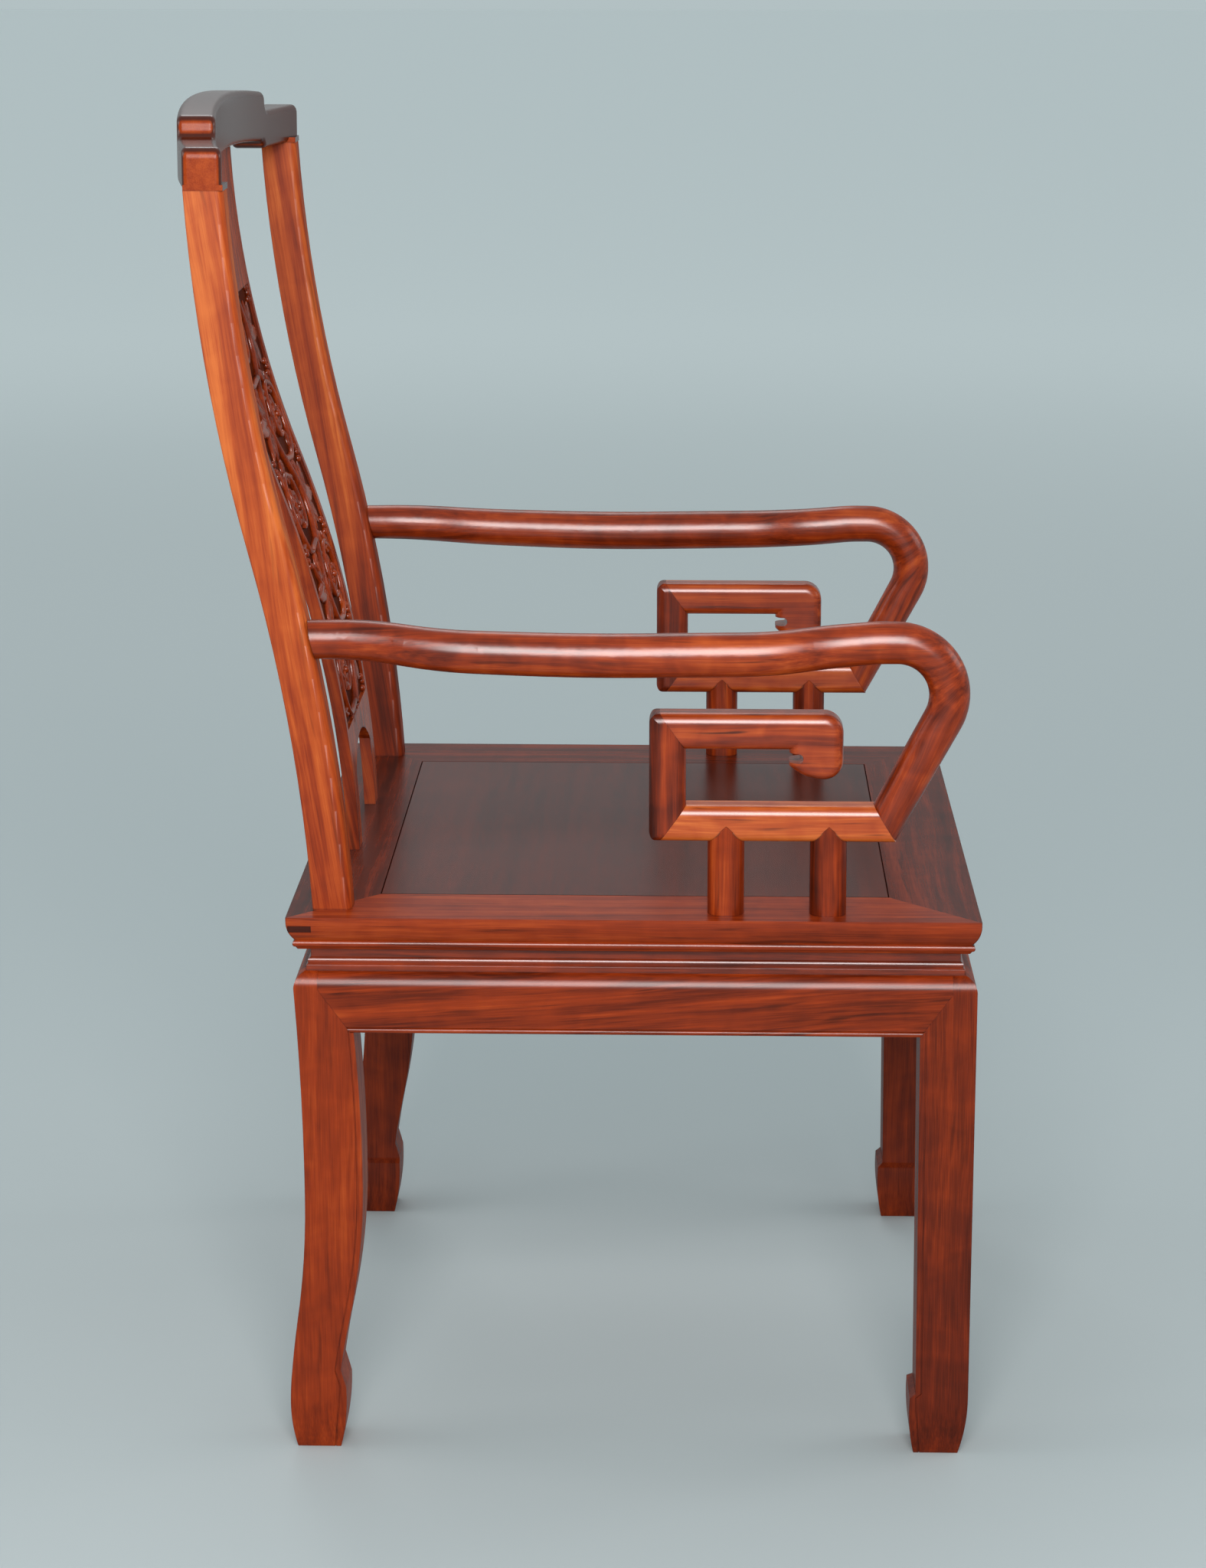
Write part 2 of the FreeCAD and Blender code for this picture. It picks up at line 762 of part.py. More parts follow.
def straight_inner_edge():
    """The inner edge of a straight leg, going down from the apron to the foot."""
    ledge = size["hoof_ledge"]
    return [
        (leg_inner, apron_bottom),
        (leg_foot_inner, ledge),
        (leg_foot_inner + size["hoof_bulge"], ledge - size["hoof_ledge_drop"]),
        (leg_foot_inner + size["foot_inner_draw"], Size(0, "0")),
    ]


def leg_groove(edge, inward, inner_edge):
    """The outline of the groove that leaves a bead along the inner edge of a leg."""
    sides = []
    for shift in (size["apron_bead"], size["apron_bead"] + size["apron_quirk"]):
        side = [(edge + (leg_inner - size["apron_bead"] / 2) * inward, apron_bottom + shift)]
        for number, corner in enumerate(inner_edge):
            height = apron_bottom + shift if number == 0 else corner[1]
            turn = (corner[2] * inward,) if len(corner) == 3 else ()
            side.append((edge + (corner[0] - shift) * inward, height) + turn)
        sides.append(side)
    return closed_board(*sides)


def leg_skin(edge, inward, outer_edge):
    """The outline of what lies outside a leg, and of the skin that the grooves are cut in."""
    found = []
    for corner in outer_edge:
        turn = (corner[2] * inward,) if len(corner) == 3 else ()
        found.append((edge + (corner[0] + size["apron_quirk"]) * inward, corner[1]) + turn)
    away = edge - size["overrun"] * inward
    return found + [(away, found[-1][1]), (away, found[0][1])]


def sway(start, lean, steps):
    """The corners of a smooth curve of arcs that goes down from a start. Each step is
    a drop and the lean, inwards in degrees, that the curve has reached below it."""
    depth, height = start
    corners = []
    for drop, next_lean in steps:
        radius = drop / (sine(next_lean) - sine(lean))
        corners.append((depth, height, radius))
        depth = depth + drop * tangent((lean + next_lean) / 2)
        height = height - drop
        lean = next_lean
    corners.append((depth, height))
    return corners


def swayed_edges():
    """The outer and the inner edge of a rear leg, going down."""
    upright = Size(0, "0")
    outer = sway((size["apron_inset"], apron_edge), size["sway_top_lean"], [
        (size["sway_upper"], upright),
        (size["sway_middle"], -size["sway_back_lean"]),
        (size["sway_lower"], -size["sway_heel_lean"]),
        (size["sway_heel"], upright),
        (apron_edge - size["sway_upper"] - size["sway_middle"] - size["sway_lower"] - size["sway_heel"],
         size["sway_toe_lean"]),
    ])
    inner = sway((leg_inner + size["inner_sway_step"], apron_bottom), size["inner_sway_lean"], [
        (size["inner_sway_upper"], upright),
        (size["inner_sway_middle"], -size["inner_sway_back_lean"]),
        (size["inner_sway_lower"], -size["inner_sway_heel_lean"]),
    ])
    return outer, inner


def swayed_leg(edge, inward):
    """The side outline of a rear leg, which sways in and then back to the foot."""
    outer, inner = swayed_edges()
    ankle, ankle_height = inner[-1]
    upright = Size(0, "0")
    corners = [(size["waist_inset"] - size["waist_reed_out"] * 2 - size["apron_quirk"], apron_top,
                size["apron_shoulder_radius"] * inward)]
    for corner in outer:
        corners.append((corner[0], corner[1], corner[2] * inward) if len(corner) == 3 else corner)
    corners.append((ankle - size["back_foot_inner_draw"], upright, size["hoof_radius"] * inward))
    corners.append((ankle + size["back_hoof_bulge"], ankle_height - size["back_hoof_drop"]))
    corners.append((ankle, ankle_height))
    for lower, upper in zip(reversed(inner[1:]), reversed(inner[:-1])):
        corners[-1] = (lower[0], lower[1], -upper[2] * inward)
        corners.append((upper[0], upper[1]))
    corners.append((leg_inner + size["inner_sway_step"], apron_top))
    return [(edge + corner[0] * inward,) + corner[1:] for corner in corners]


def straight_outer_edge():
    """The outer edge of a straight leg, going down."""
    ankle = size["apron_inset"] + size["leg_taper"]
    return [
        (size["apron_inset"], apron_edge),
        (ankle, size["foot_height"], size["foot_radius"]),
        (ankle + size["foot_draw"], Size(0, "0")),
    ]


leg_side_outlines = {
    True: side_slab("front_leg", straight_leg(front_y, 1)),
    False: side_slab("back_leg", swayed_leg(back_y - size["back_set"], -1)),
}
leg_fronts = {
    -1: front_slab("right_legs", straight_leg(-half_width, 1)),
    1: front_slab("left_legs", straight_leg(half_width, -1)),
}
swayed_outer, swayed_inner = swayed_edges()
heel, heel_height = swayed_inner[-1]
swayed_inner += [(heel + size["back_hoof_bulge"], heel_height - size["back_hoof_drop"]),
                 (heel - size["back_foot_inner_draw"], Size(0, "0"))]
leg_edge = back_y - size["back_set"]
side_grooves = {
    True: side_slab("front_leg_groove", leg_groove(front_y, 1, straight_inner_edge())),
    False: side_slab("back_leg_groove", leg_groove(leg_edge, -1, swayed_inner)),
}
front_grooves = {
    -1: front_slab("right_legs_groove", leg_groove(-half_width, 1, straight_inner_edge())),
    1: front_slab("left_legs_groove", leg_groove(half_width, -1, straight_inner_edge())),
}
side_skins = {
    True: side_slab("front_leg_skin", leg_skin(front_y, 1, straight_outer_edge())),
    False: side_slab("back_leg_skin", leg_skin(leg_edge, -1, swayed_outer)),
}
front_skins = {
    -1: front_slab("right_legs_skin", leg_skin(-half_width, 1, straight_outer_edge())),
    1: front_slab("left_legs_skin", leg_skin(half_width, -1, straight_outer_edge())),
}
for corner, (x_sign, front) in CORNERS.items():
    side = "right" if x_sign < 0 else "left"
    blank = common(f"{corner}_leg_blank", leg_side_outlines[front], leg_fronts[x_sign])
    blank = cut(f"{corner}_leg_shouldered", blank,
                [apron_spaces["front" if front else "back"], apron_spaces[side]])
    blank = cut(f"{corner}_leg_beaded", blank, [
        common(f"{corner}_leg_side_groove", side_grooves[front], front_skins[x_sign]),
        common(f"{corner}_leg_face_groove", front_grooves[x_sign], side_skins[front])])
    tenon = leg_tenon(f"{corner}_leg_tenon", x_sign, front, 0)
    piece(fused(f"{corner}_leg_body", [blank, tenon]), f"{corner}_leg")


# Back stiles and splat: boards of even thickness along a curve of two arcs
def s_bend(rise, turn, rake, end_lean):
    """The middle lean and the two radii of an S that rakes back as it rises."""
    middle_lean = lean_of(rake / rise) * 2 - end_lean
    bend = sine(middle_lean) - sine(end_lean)
    return middle_lean, turn / bend, (rise - turn) / bend


def raked_board(foot_y, foot, top, turn, rake, end_lean, thickness):
    """The front and back edges, going up, of a board that leans back in an S."""
    rise = top - foot
    middle_lean, lower, upper = s_bend(rise, turn, rake, end_lean)
    mean = tangent((middle_lean + end_lean) / 2)
    middle_y, top_y = foot_y + turn * mean, foot_y + rise * mean
    found = []
    for half in (-(thickness / 2), thickness / 2):
        shift = half / cosine(end_lean)
        found.append([
            (foot_y + shift, foot, -(lower - half)),
            (middle_y + half * cosine(middle_lean), foot + turn - half * sine(middle_lean), upper + half),
            (top_y + shift, top),
        ])
    return found


stile_front, stile_back = raked_board(stile_foot_y, seat_top, shoulder_bottom, size["stile_turn"],
                                      size["stile_rake"], size["stile_end_lean"], size["stile_thick"])
stile_blank = side_slab("stile", closed_board(stile_front, stile_back))
stile_low, stile_high = stile_middle - size["stile_width"] / 2, stile_middle + size["stile_width"] / 2
stile_strip = block("stile_strip", (-stile_high, -stile_low), (front_y, -front_y),
                    (seat_top, shoulder_bottom))
stile_square = common("stile_square", stile_blank, stile_strip)
stile_top_y = work("stile_top_y", stile_foot_y + size["stile_rake"])


def up_the_stile(edge):
    """Whether an edge runs up the front of the stile."""
    box = edge.BoundBox
    middle = edge.valueAt((edge.FirstParameter + edge.LastParameter) / 2)
    board = stile_square.Shape.BoundBox
    forward = middle.y < board.YMin + (board.YMax - board.YMin) * (middle.z - board.ZMin) / board.ZLength
    return box.ZLength > size["stile_thick"].number * 2 and box.XLength < size["fit"].number and forward


stile_soft = rounded("stile_soft", stile_square, size["stile_round"].number, up_the_stile)
top_tenon = upright_tenon("stile_top_tenon", -stile_middle, stile_top_y, size["stile_tenon"],
                          shoulder_bottom, shoulder_bottom + size["stile_tenon_length"], 0)
right_stile = fused("right_stile_tenoned", [stile_soft, stile_tenon("right_stile_foot", -1, 0), top_tenon])

# Crest rail: a raised middle between two low shoulders, bowed back in plan
crest_x = stile_high
crest_top = size["crest_height"]
middle_edge_top = crest_top - size["crest_rise"]
middle_bottom = crest_top - size["crest_middle_thick"]
middle_edge_bottom = middle_bottom - size["crest_under_rise"]
step_start = size["crest_step_start"]


def arch_and_step(name, rise, height, level, lean):
    """Half of a flat arch that falls by a rise to a height, and the S-shaped step that
    carries it on, smoothly, to a lower level. It gives the arch's radius, the radius of
    the step, the middle of the step and the place where the step ends."""
    arch = work(f"{name}_arch", (step_start * step_start + rise * rise) / (rise * 2))
    slope = lean_of(rise / step_start) * 2
    bend = work(f"{name}_step", (height - level) / (cosine(slope) + 1 - cosine(lean) * 2))
    middle = (step_start + bend * (sine(lean) - sine(slope)), height - bend * (cosine(slope) - cosine(lean)))
    return arch, bend, middle, middle[0] + bend * sine(lean)


top_arch, top_bend, top_middle, top_step_end = arch_and_step(
    "crest_top", size["crest_rise"], middle_edge_top, shoulder_top, size["crest_step_lean"])
under_arch, under_bend, under_middle, under_step_end = arch_and_step(
    "crest_under", size["crest_under_rise"], middle_edge_bottom, shoulder_bottom, size["crest_under_lean"])
crest_end = crest_x - size["crest_end_round"]
crest_outline = [
    (-crest_x, shoulder_bottom),
    (-under_step_end, shoulder_bottom, under_bend),
    (-under_middle[0], under_middle[1], -under_bend),
    (-step_start, middle_edge_bottom, -under_arch),
    (step_start, middle_edge_bottom, -under_bend),
    (under_middle[0], under_middle[1], under_bend),
    (under_step_end, shoulder_bottom),
    (crest_x, shoulder_bottom),
    (crest_x, shoulder_top - size["crest_end_round"], size["crest_end_round"]),
    (crest_end, shoulder_top),
    (top_step_end, shoulder_top, -top_bend),
    (top_middle[0], top_middle[1], top_bend),
    (step_start, middle_edge_top, top_arch),
    (-step_start, middle_edge_top, top_bend),
    (-top_middle[0], top_middle[1], -top_bend),
    (-top_step_end, shoulder_top),
    (-crest_end, shoulder_top, size["crest_end_round"]),
    (-crest_x, shoulder_top - size["crest_end_round"]),
]
crest_front = front_slab("crest", crest_outline)
bow_radius = work("bow_radius", (crest_x * crest_x + size["crest_bow"] * size["crest_bow"])
                  / (size["crest_bow"] * 2))
crest_low = stile_top_y - size["crest_thick"] / 2
crest_high = stile_top_y + size["crest_thick"] / 2
crest_plan = plan_slab("crest", [
    (crest_x, crest_low, bow_radius),
    (-crest_x, crest_low),
    (-crest_x, crest_high, -bow_radius),
    (crest_x, crest_high),
])
crest_square = common("crest_square", crest_front, crest_plan)


def long_crest_edge(edge):
    """Whether an edge runs along the crest rail's front or back."""
    return edge.BoundBox.XLength > size["fit"].number


crest_soft = rounded("crest_soft", crest_square, size["crest_round"].number, long_crest_edge)
stile_mortise = upright_tenon("crest_stile_mortise", -stile_middle, stile_top_y, size["stile_tenon"],
                              shoulder_bottom, shoulder_bottom + size["stile_tenon_length"], 1)

# Splat: a curved board with a sunk field for its carving and an open foot
splat_top = middle_bottom + size["splat_tongue"]
splat_front, splat_back = raked_board(splat_foot_y, seat_top, splat_top, size["splat_turn"],
                                      size["splat_rake"], size["splat_end_lean"], size["splat_thick"])
splat_blank = side_slab("splat", closed_board(splat_front, splat_back))
splat_x = size["splat_width"] / 2
foot_x = splat_x - size["splat_foot_width"]
arch_low = seat_top + size["splat_foot_arch"]
arch_rise = size["splat_foot_rise"]
foot_arch = (foot_x * foot_x + arch_rise * arch_rise) / (arch_rise * 2)
splat_face = front_slab("splat", [
    (-splat_x, seat_top),
    (-foot_x, seat_top),
    (-foot_x, arch_low, -foot_arch),
    (foot_x, arch_low),
    (foot_x, seat_top),
    (splat_x, seat_top),
    (splat_x, splat_top),
    (-splat_x, splat_top),
])
splat_board = common("splat_board", splat_blank, splat_face)
field_x = splat_x - size["splat_rim"]
field_low, field_high = seat_top + size["splat_field_foot"], seat_top + size["splat_field_top"]
field_face = front_slab("splat_field", [
    (-field_x, field_low), (field_x, field_low), (field_x, field_high), (-field_x, field_high)])
sunk_edge = [(corner[0] + size["splat_sink"],) + corner[1:] for corner in splat_front]
ahead_edge = [(corner[0] - size["splat_thick"],) + corner[1:] for corner in splat_front]
sunk_slab = side_slab("splat_sunk", closed_board(ahead_edge, sunk_edge))
sunk_field = common("splat_sunk_field", sunk_slab, field_face)
splat_carved = cut("splat_sunk_board", splat_board, [sunk_field])
splat_body = fused("splat_body", [splat_carved] + splat_tenons("splat_tenon", 0))
piece(splat_body, "splat")
splat_slot = block("splat_slot", (-splat_x - size["fit"], splat_x + size["fit"]),
                   (splat_back[2][0] - size["splat_thick"] * 2, splat_back[2][0] + size["fit"] * 3),
                   (middle_edge_bottom - size["overrun"], splat_top + size["fit"]))
splat_slot_slab = side_slab("splat_slot", closed_board(
    [(corner[0] - size["fit"],) + corner[1:] for corner in splat_front],
    [(corner[0] + size["fit"],) + corner[1:] for corner in splat_back]))
crest_slot = common("crest_splat_slot", splat_slot, splat_slot_slab)
stile_seat = block("crest_stile_seat", (-stile_high, -stile_low),
                   (stile_top_y - size["stile_thick"] / 2, stile_top_y + size["stile_thick"] / 2),
                   (shoulder_bottom, shoulder_bottom + size["crest_round"]))
crest_whole = fused("crest_whole", [crest_soft, stile_seat, mirrored("crest_left_stile_seat", stile_seat)])
crest = cut("crest_body", crest_whole,
            [stile_mortise, mirrored("crest_left_mortise", stile_mortise), crest_slot])
piece(crest, "crest_rail")

# Arms: round rods that leave the stiles, bow outwards, and turn down into the fret
arm_top_y = front_y + size["arm_reach"]
arm_bend_height = arm_height - size["arm_bend"]
fret_base_bottom = work("fret_base_bottom", seat_top + size["arm_rise"] * FRET_BASE_SHARE)
fret_base_top = fret_base_bottom + size["fret_bar"]
drop = size["arm_drop_lean"]
bend_end_y = arm_top_y - size["arm_bend"] * cosine(drop)
bend_end_z = arm_bend_height - size["arm_bend"] * sine(drop)
mitre_inner_y = work("mitre_inner_y", bend_end_y + size["arm_end_radius"] * cosine(drop)
                     + (bend_end_z + size["arm_end_radius"] * sine(drop) - fret_base_top) * tangent(drop))
mitre_outer_y = work("mitre_outer_y", bend_end_y - size["arm_end_radius"] * cosine(drop)
                     + (bend_end_z - size["arm_end_radius"] * sine(drop) - fret_base_bottom) * tangent(drop))
stile_lower = s_bend(shoulder_bottom - seat_top, size["stile_turn"], size["stile_rake"],
                     size["stile_end_lean"])[1]
arm_lean = work("arm_lean", lean_of_sine(sine(size["stile_end_lean"]) + size["arm_rise"] / stile_lower))
mean_lean = (size["stile_end_lean"] + arm_lean) / 2
stile_face_y = work("stile_face_y", stile_foot_y + size["arm_rise"] * tangent(mean_lean)
                    - size["stile_thick"] / 2 / cosine(arm_lean))


def arm_path():
    """The line through the middle of the right arm, from inside the stile to its foot,
    and the places and headings of the round sections along it."""
    run = (stile_face_y - arm_top_y).number
    front_x = -(half_width - size["fret_inset"]).number
    root_x = -(half_width - size["arm_root_inset"]).number
    bow_x = -(half_width - size["arm_bowed_inset"]).number
    height, dip = arm_height.number, size["arm_dip"].number
    start_y = arm_top_y.number
    points = [Vector(front_x, start_y, height)]
    for run_share, dip_share, bow_share in ARM_RUN_SHARES:
        end_x = front_x if run_share < ARM_CORNER_SHARE else root_x
        x = end_x + (bow_x - end_x) * bow_share
        points.append(Vector(x, start_y + run * run_share, height - dip * dip_share))
    points.append(Vector(root_x, start_y + run + size["stile_thick"].number / 2, height))
    points.reverse()
    stations = [(points[0], Vector(0, -1, 0))]
    for first, second in ((points[2], points[3]), (points[4], points[5])):
        stations.append(((first + second) / 2, second - first))
    edges_found = []
    here = points[0]
    for before, corner, after in zip(points, points[1:], points[2:]):
        back, ahead = before - corner, after - corner
        reach = min(back.Length, ahead.Length) * ARM_CORNER_SHARE
        back.normalize()
        ahead.normalize()
        entry, leave = corner + back * reach, corner + ahead * reach
        bisector = (back + ahead).normalize()
        half_turn = (math.pi - back.getAngle(ahead)) / 2
        radius = reach / math.tan(half_turn)
        summit = corner + bisector * (radius / math.cos(half_turn) - radius)
        edges_found.append(Part.LineSegment(here, entry).toShape())
        edges_found.append(Part.Arc(entry, summit, leave).toShape())
        here = leave
    edges_found.append(Part.LineSegment(here, points[-1]).toShape())
    centre = Vector(front_x, start_y, arm_bend_height.number)
    bend, turn = size["arm_bend"].number, math.radians(drop.number)

    def on_bend(angle):
        return centre + Vector(0, -math.sin(angle), math.cos(angle)) * bend
    last = math.pi / 2 + turn
    edges_found.append(Part.Arc(on_bend(0), on_bend(last / 2), on_bend(last)).toShape())
    down = Vector(0, math.sin(turn), -math.cos(turn))
    foot = on_bend(last) + down * (bend_end_z.number - fret_base_bottom.number + size["overrun"].number / 2)
    edges_found.append(Part.LineSegment(on_bend(last), foot).toShape())
    return Part.Wire(edges_found), stations + [(foot, down)]


path = doc.addObject("Part::Feature", "arm_path")
path.Shape, stations = arm_path()
arm_radii = [size["arm_root_radius"], size["arm_middle_radius"],
             size["arm_middle_radius"], size["arm_end_radius"]]
rings = []
for number, ((place, heading), radius) in enumerate(zip(stations, arm_radii)):
    ring = doc.addObject("Part::Circle", f"arm_ring{number}")
    bind(ring, "Radius", radius)
    ring.Placement = Placement(place, Rotation(Vector(1, 0, 0), Vector(), heading, "ZXY"))
    rings.append(ring)
arm_rod = doc.addObject("Part::Sweep", "arm_rod")
arm_rod.Sections = rings
arm_rod.Spine = (path, [f"Edge{number + 1}" for number in range(len(path.Shape.Edges))])
arm_rod.Solid = True
arm_rod.Frenet = False
arm_rod.Transition = "Transformed"
ahead_of_stile = [(corner[0] - size["fit"],) + corner[1:] for corner in stile_front]
arm_region = side_slab("arm_region", [
    (front_y - size["overrun"], seat_top),
    (mitre_outer_y - (fret_base_bottom - seat_top) / (fret_base_top - fret_base_bottom)
     * (mitre_inner_y - mitre_outer_y), seat_top),
    (mitre_inner_y, fret_base_top),
    (mitre_inner_y + size["overrun"], fret_base_top),
    (ahead_of_stile[0][0], fret_base_top - size["fret_bar"]),
    (ahead_of_stile[0][0], seat_top, ahead_of_stile[0][2]),
    ahead_of_stile[1],
    ahead_of_stile[2],
    (front_y - size["overrun"], shoulder_bottom),
])
arm_body = common("right_arm_round", arm_rod, arm_region)
arm_root_x = -(half_width - size["arm_root_inset"])


def arm_tenon(name, slack):
    """The tenon that holds an arm in its stile, or the mortise for it."""
    room = size["fit"] * slack
    half = size["arm_tenon"] / 2 + room
    x = arm_root_x + size["arm_root_inset"] - size["stile_inset"]
    y = (stile_face_y - size["arm_tenon_length"] / 2, stile_face_y + size["arm_tenon_length"] + room)
    z = (arm_height - half, arm_height + half)
    return block(name, (x - half / 2, x + half / 2), y, z)


right_arm = piece(fused("right_arm_body", [arm_body, arm_tenon("right_arm_tenon", 0)]), "right_arm")
right_stile = piece(cut("right_stile_body", right_stile, [arm_tenon("right_arm_mortise", 1)]), "right_stile")
piece(mirrored("left_arm_body", right_arm), "left_arm")
piece(mirrored("left_stile_body", right_stile), "left_stile")


# Fretted arm support: mitred bars of rounded square section, a hooked end, two posts
def rounded_square(x, y, across, round_size, tall=None):
    """A square or tall outline with rounded corners."""
    half = across / 2
    inner = half - round_size
    rise = tall / 2 if tall else half
    flat = rise - round_size
    return [
        (x - inner, y - rise), (x + inner, y - rise, round_size),
        (x + half, y - flat), (x + half, y + flat, round_size),
        (x + inner, y + rise), (x - inner, y + rise, round_size),
        (x - half, y + flat), (x - half, y - flat, round_size),
    ]


fret_x = -fret_middle
fret_back_y = front_y + size["fret_back"]
fret_front_y = front_y + size["fret_front"]
fret_inner_y = fret_back_y - size["fret_bar"]
fret_top_bottom = work("fret_top_bottom", seat_top + size["arm_rise"] * FRET_TOP_SHARE)
fret_top_top = fret_top_bottom + size["fret_bar"]
corner_round = size["fret_corner"]
base_bar = front_slab("fret_base", rounded_square(
    fret_x, (fret_base_bottom + fret_base_top) / 2, size["fret_bar"], size["fret_round"]))
base_view = side_slab("fret_base_view", [
    (mitre_outer_y, fret_base_bottom),
    (fret_back_y - corner_round, fret_base_bottom),
    (fret_inner_y, fret_base_top),
    (mitre_inner_y, fret_base_top),
])
back_bar = common("fret_back_bar", plan_slab("fret_back", rounded_square(
    fret_x, (fret_back_y + fret_inner_y) / 2, size["fret_bar"], size["fret_round"])),
    front_slab("fret_back", rounded_square(fret_x, (fret_base_bottom + fret_top_top) / 2, size["fret_bar"],
                                           size["fret_round"], fret_top_top - fret_base_bottom)))
back_view = side_slab("fret_back_view", [
    (fret_back_y - corner_round, fret_base_bottom, corner_round),
    (fret_back_y, fret_base_bottom + corner_round),
    (fret_back_y, fret_top_top - corner_round, corner_round),
    (fret_back_y - corner_round, fret_top_top),
    (fret_inner_y, fret_top_bottom),
    (fret_inner_y, fret_base_top),
])
hook_bottom = fret_top_bottom - (fret_top_bottom - fret_base_top) * HOOK_SHARE
hook_round = size["hook_round"]
tip_y = fret_front_y + size["hook_reach"]
notch_y = tip_y - size["hook_notch_depth"]
notch_high = fret_top_bottom - size["hook_lip"]
notch_low = notch_high - size["hook_notch"]
tip_z = notch_low - size["hook_tip"]
curl_run, curl_rise = size["hook_reach"] - hook_round, tip_z - hook_bottom
hook_curl = work("hook_curl", (curl_run * curl_run + curl_rise * curl_rise) / (curl_rise * 2))
top_view = side_slab("fret_top_view", [
    (fret_inner_y, fret_top_bottom),
    (fret_back_y - corner_round, fret_top_top),
    (fret_front_y + hook_round, fret_top_top, hook_round),
    (fret_front_y, fret_top_top - hook_round),
    (fret_front_y, hook_bottom + hook_round, hook_round),
    (fret_front_y + hook_round, hook_bottom, hook_curl),
    (tip_y, tip_z),
    (tip_y, fret_top_bottom),
])
hook_strip = block("fret_top_strip", (fret_x - size["fret_bar"] / 2, fret_x + size["fret_bar"] / 2),
                   (front_y, back_y), (hook_bottom, fret_top_top))
hook_square = common("fret_top_square", top_view, hook_strip)


def along_the_hook(edge):
    """Whether an edge runs along the top bar or its hook, and not across or on the mitre."""
    box = edge.BoundBox
    on_mitre = (box.YMin > fret_inner_y.number - size["fit"].number
                and box.ZLength > size["fret_bar"].number / 2)
    return box.XLength < size["fit"].number and not on_mitre


hook_soft = rounded("fret_top_soft", hook_square, size["fret_round"].number, along_the_hook)
notch_slot = block("hook_notch_slot", (fret_x - size["fret_bar"], fret_x + size["fret_bar"]),
                   (notch_y, tip_y + size["hook_notch"]), (notch_low, notch_high))
notch_end = doc.addObject("Part::Cylinder", "hook_notch_end")
bind(notch_end, "Radius", size["hook_notch"] / 2)
bind(notch_end, "Height", size["fret_bar"] * 2)
notch_end.Placement = Placement(Vector(), Rotation(Vector(0, 1, 0), 90))
bind(notch_end, "Placement.Base.x", fret_x - size["fret_bar"])
bind(notch_end, "Placement.Base.y", notch_y)
bind(notch_end, "Placement.Base.z", notch_high - size["hook_notch"] / 2)
hook_notched = cut("fret_top_notched", hook_soft, [notch_slot, notch_end])


def fret_tenon(name, y, height, slack):
    """A short tenon that crosses a mitre of the fret, or its mortise."""
    room = size["fit"] * slack
    half = size["fret_tenon"] / 2 + room
    length = size["fret_tenon_length"] / 2 + room
    return block(name, (fret_x - half / 2, fret_x + half / 2),
                 (y - length, y + length), (height - half, height + half))


bar_middle_y = (fret_back_y + fret_inner_y) / 2
base_middle, top_middle = (fret_base_bottom + fret_base_top) / 2, (fret_top_bottom + fret_top_top) / 2
front_mitre_y = (mitre_inner_y + mitre_outer_y) / 2
posts = {}
post_notches = []
for place in ("front", "back"):
    middle = front_y + size[f"post_{place}"]
    half = size["post_size"] / 2
    for name, room in ((f"{place}_post", Size(0, "0")), (f"{place}_post_notch", size["fit"])):
        view = side_slab(name, [
            (middle - half - room, seat_top - room),
            (middle + half + room, seat_top - room),
            (middle + half + room, fret_base_bottom + room),
            (middle, fret_base_bottom + size["post_peak"] + room),
            (middle - half - room, fret_base_bottom + room),
        ])
        section = plan_slab(name, rounded_square(
            fret_x, middle, size["post_size"] + room * 2, size["post_round"] + room))
        shaft = common(f"right_{name}_shaft", view, section)
        if room.number:
            post_notches.append(shaft)
        else:
            low = seat_top - size["post_tenon_length"]
            peg = upright_tenon(f"right_{name}_peg", fret_x, middle, size["post_tenon"], low, seat_top, 0)
            posts[place] = fused(f"right_{name}_body", [shaft, peg])

base_blank = common("right_fret_base_blank", base_bar, base_view)
base_tenons = [fret_tenon("fret_base_back_tenon", bar_middle_y, base_middle, 0),
               fret_tenon("fret_base_front_tenon", front_mitre_y, base_middle, 0)]
base_body = cut("right_fret_base_notched", base_blank, post_notches)
fret_pieces = {
    "fret_base": fused("right_fret_base_body", [base_body] + base_tenons),
    "fret_back": cut("right_fret_back_body", fused("right_fret_back_tenoned", [
        common("right_fret_back_blank", back_bar, back_view),
        fret_tenon("fret_top_tenon", bar_middle_y, top_middle, 0)]),
        [fret_tenon("fret_base_back_mortise", bar_middle_y, base_middle, 1)]),
    "fret_top": cut("right_fret_top_body", hook_notched,
                    [fret_tenon("fret_top_mortise", bar_middle_y, top_middle, 1)]),
    "front_post": posts["front"],
    "back_post": posts["back"],
}
for name, solid in fret_pieces.items():
    piece(solid, f"right_{name}")
    piece(mirrored(f"left_{name}_body", solid), f"left_{name}")

# Check every object, then write each piece to a file of its own name
doc.recompute()
faults = []
for thing in doc.Objects:
    if "Invalid" in thing.State or "Error" in thing.State:
        faults.append(f"{thing.Label}: {thing.State}")
for solid in subparts:
    if solid.Shape.isNull() or not solid.Shape.isValid() or not solid.Shape.Solids:
        faults.append(f"{solid.Label}: no valid solid")
if faults:
    raise RuntimeError("; ".join(faults))
os.makedirs("parts", exist_ok=True)
for solid in subparts:
    solid.Shape.exportStep(os.path.join("parts", f"{solid.Label}.step"))
print(f"{len(subparts)} pieces")
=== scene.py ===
import math

